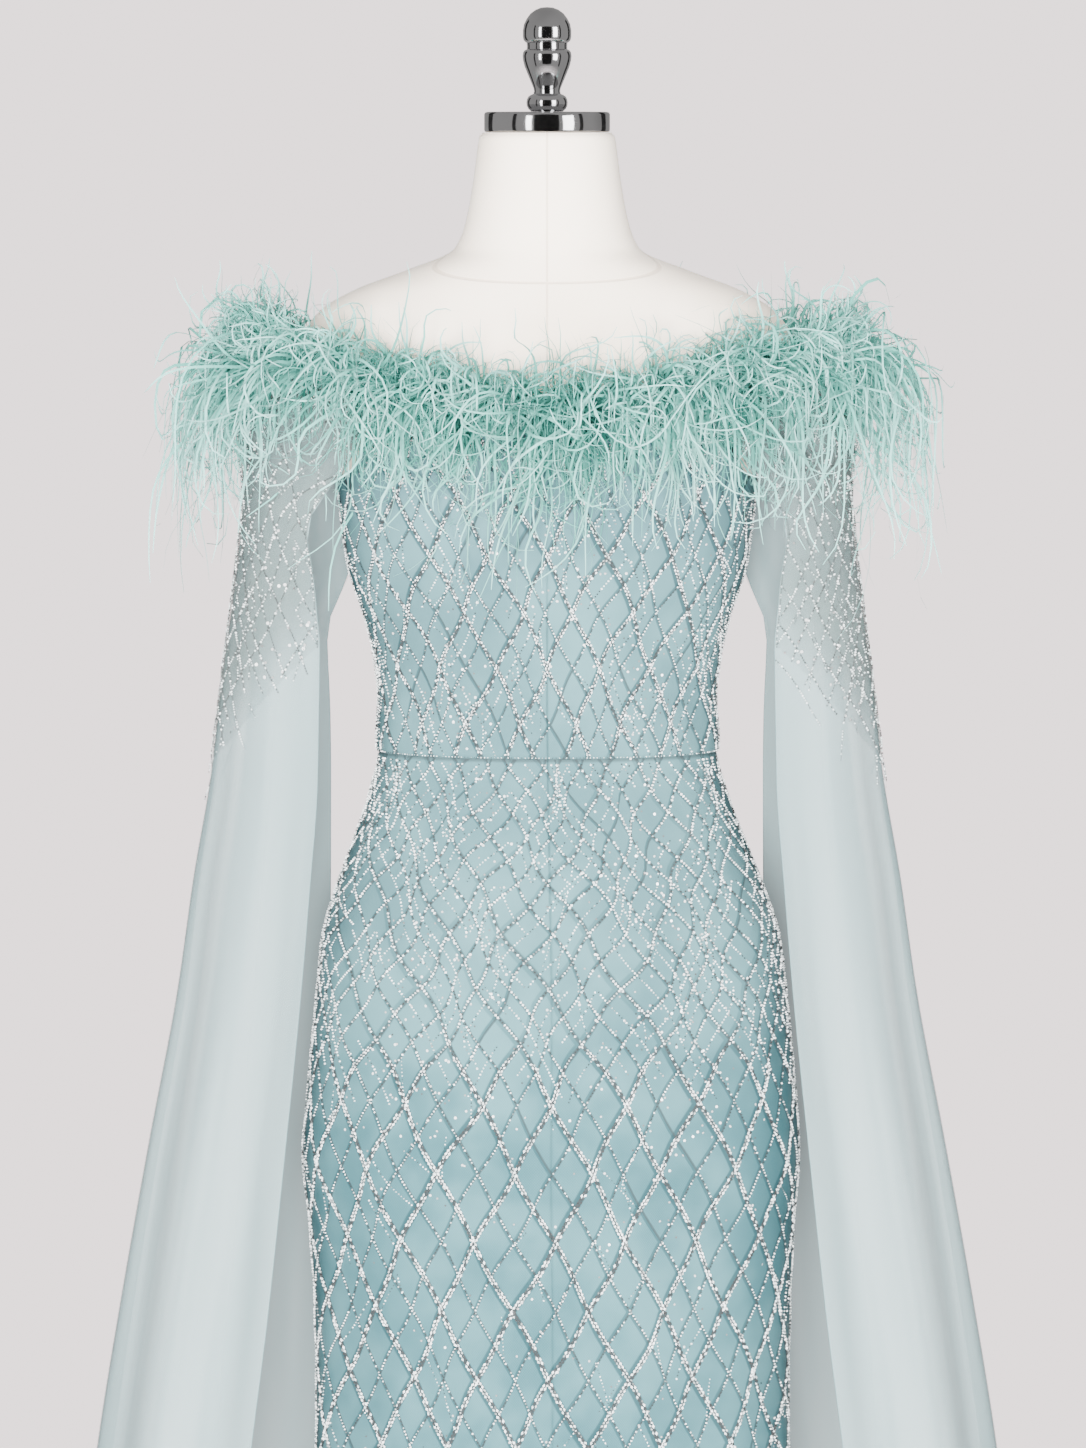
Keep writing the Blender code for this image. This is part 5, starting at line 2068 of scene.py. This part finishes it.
class GOWN_OT_form(GownStep, bpy.types.Operator):
    """Make the dress form with its cap, finial and stand"""

    bl_idname = "gown.form"
    bl_label = "Dress form"
    make = staticmethod(make_form)


class GOWN_OT_bodice(GownStep, bpy.types.Operator):
    """Make the bodice's four panels"""

    bl_idname = "gown.bodice"
    bl_label = "Bodice"
    make = staticmethod(make_bodice)


class GOWN_OT_skirt(GownStep, bpy.types.Operator):
    """Make the skirt's four panels"""

    bl_idname = "gown.skirt"
    bl_label = "Skirt"
    make = staticmethod(make_skirt)


class GOWN_OT_lattice(GownStep, bpy.types.Operator):
    """String the beads and sequins of the bodice and skirt"""

    bl_idname = "gown.lattice"
    bl_label = "Bead lattice"
    make = staticmethod(make_lattice)


class GOWN_OT_sleeves(GownStep, bpy.types.Operator):
    """Make the chiffon cape sleeves and their net"""

    bl_idname = "gown.sleeves"
    bl_label = "Cape sleeves"
    make = staticmethod(make_sleeves)


class GOWN_OT_sleeve_beads(GownStep, bpy.types.Operator):
    """String the beads and sequins of the sleeves"""

    bl_idname = "gown.sleeve_beads"
    bl_label = "Sleeve beads"
    make = staticmethod(make_sleeve_beads)


class GOWN_OT_feathers(GownStep, bpy.types.Operator):
    """Make the feather trim on its tape"""

    bl_idname = "gown.feathers"
    bl_label = "Feather trim"
    make = staticmethod(make_feathers)


class GOWN_OT_stage(GownStep, bpy.types.Operator):
    """Make the floor, the lights and the camera"""

    bl_idname = "gown.stage"
    bl_label = "Stage"
    make = staticmethod(make_stage)


STEPS = (
    GOWN_OT_form,
    GOWN_OT_feathers,
    GOWN_OT_bodice,
    GOWN_OT_skirt,
    GOWN_OT_lattice,
    GOWN_OT_sleeves,
    GOWN_OT_sleeve_beads,
    GOWN_OT_stage,
)


class GOWN_PT_pieces(bpy.types.Panel):
    """Lists the gown's pieces in the order that they are made"""

    bl_label = "Evening gown"
    bl_space_type = "VIEW_3D"
    bl_region_type = "UI"
    bl_category = "Gown"

    def draw(self, context):
        settings = context.scene.evening_gown
        for name in GownSettings.__annotations__:
            self.layout.prop(settings, name)
        for step in STEPS:
            self.layout.operator(step.bl_idname)


CLASSES = (GownSettings, *STEPS, GOWN_PT_pieces)


def register():
    for added in CLASSES:
        bpy.utils.register_class(added)
    bpy.types.Scene.evening_gown = bpy.props.PointerProperty(type=GownSettings)


def unregister():
    del bpy.types.Scene.evening_gown
    for added in reversed(CLASSES):
        bpy.utils.unregister_class(added)


def main():
    """Makes every piece in order."""
    register()
    for step in STEPS:
        group, name = step.bl_idname.split(".")
        getattr(getattr(bpy.ops, group), name)()
    bpy.context.view_layer.update()


if __name__ == "__main__":
    main()
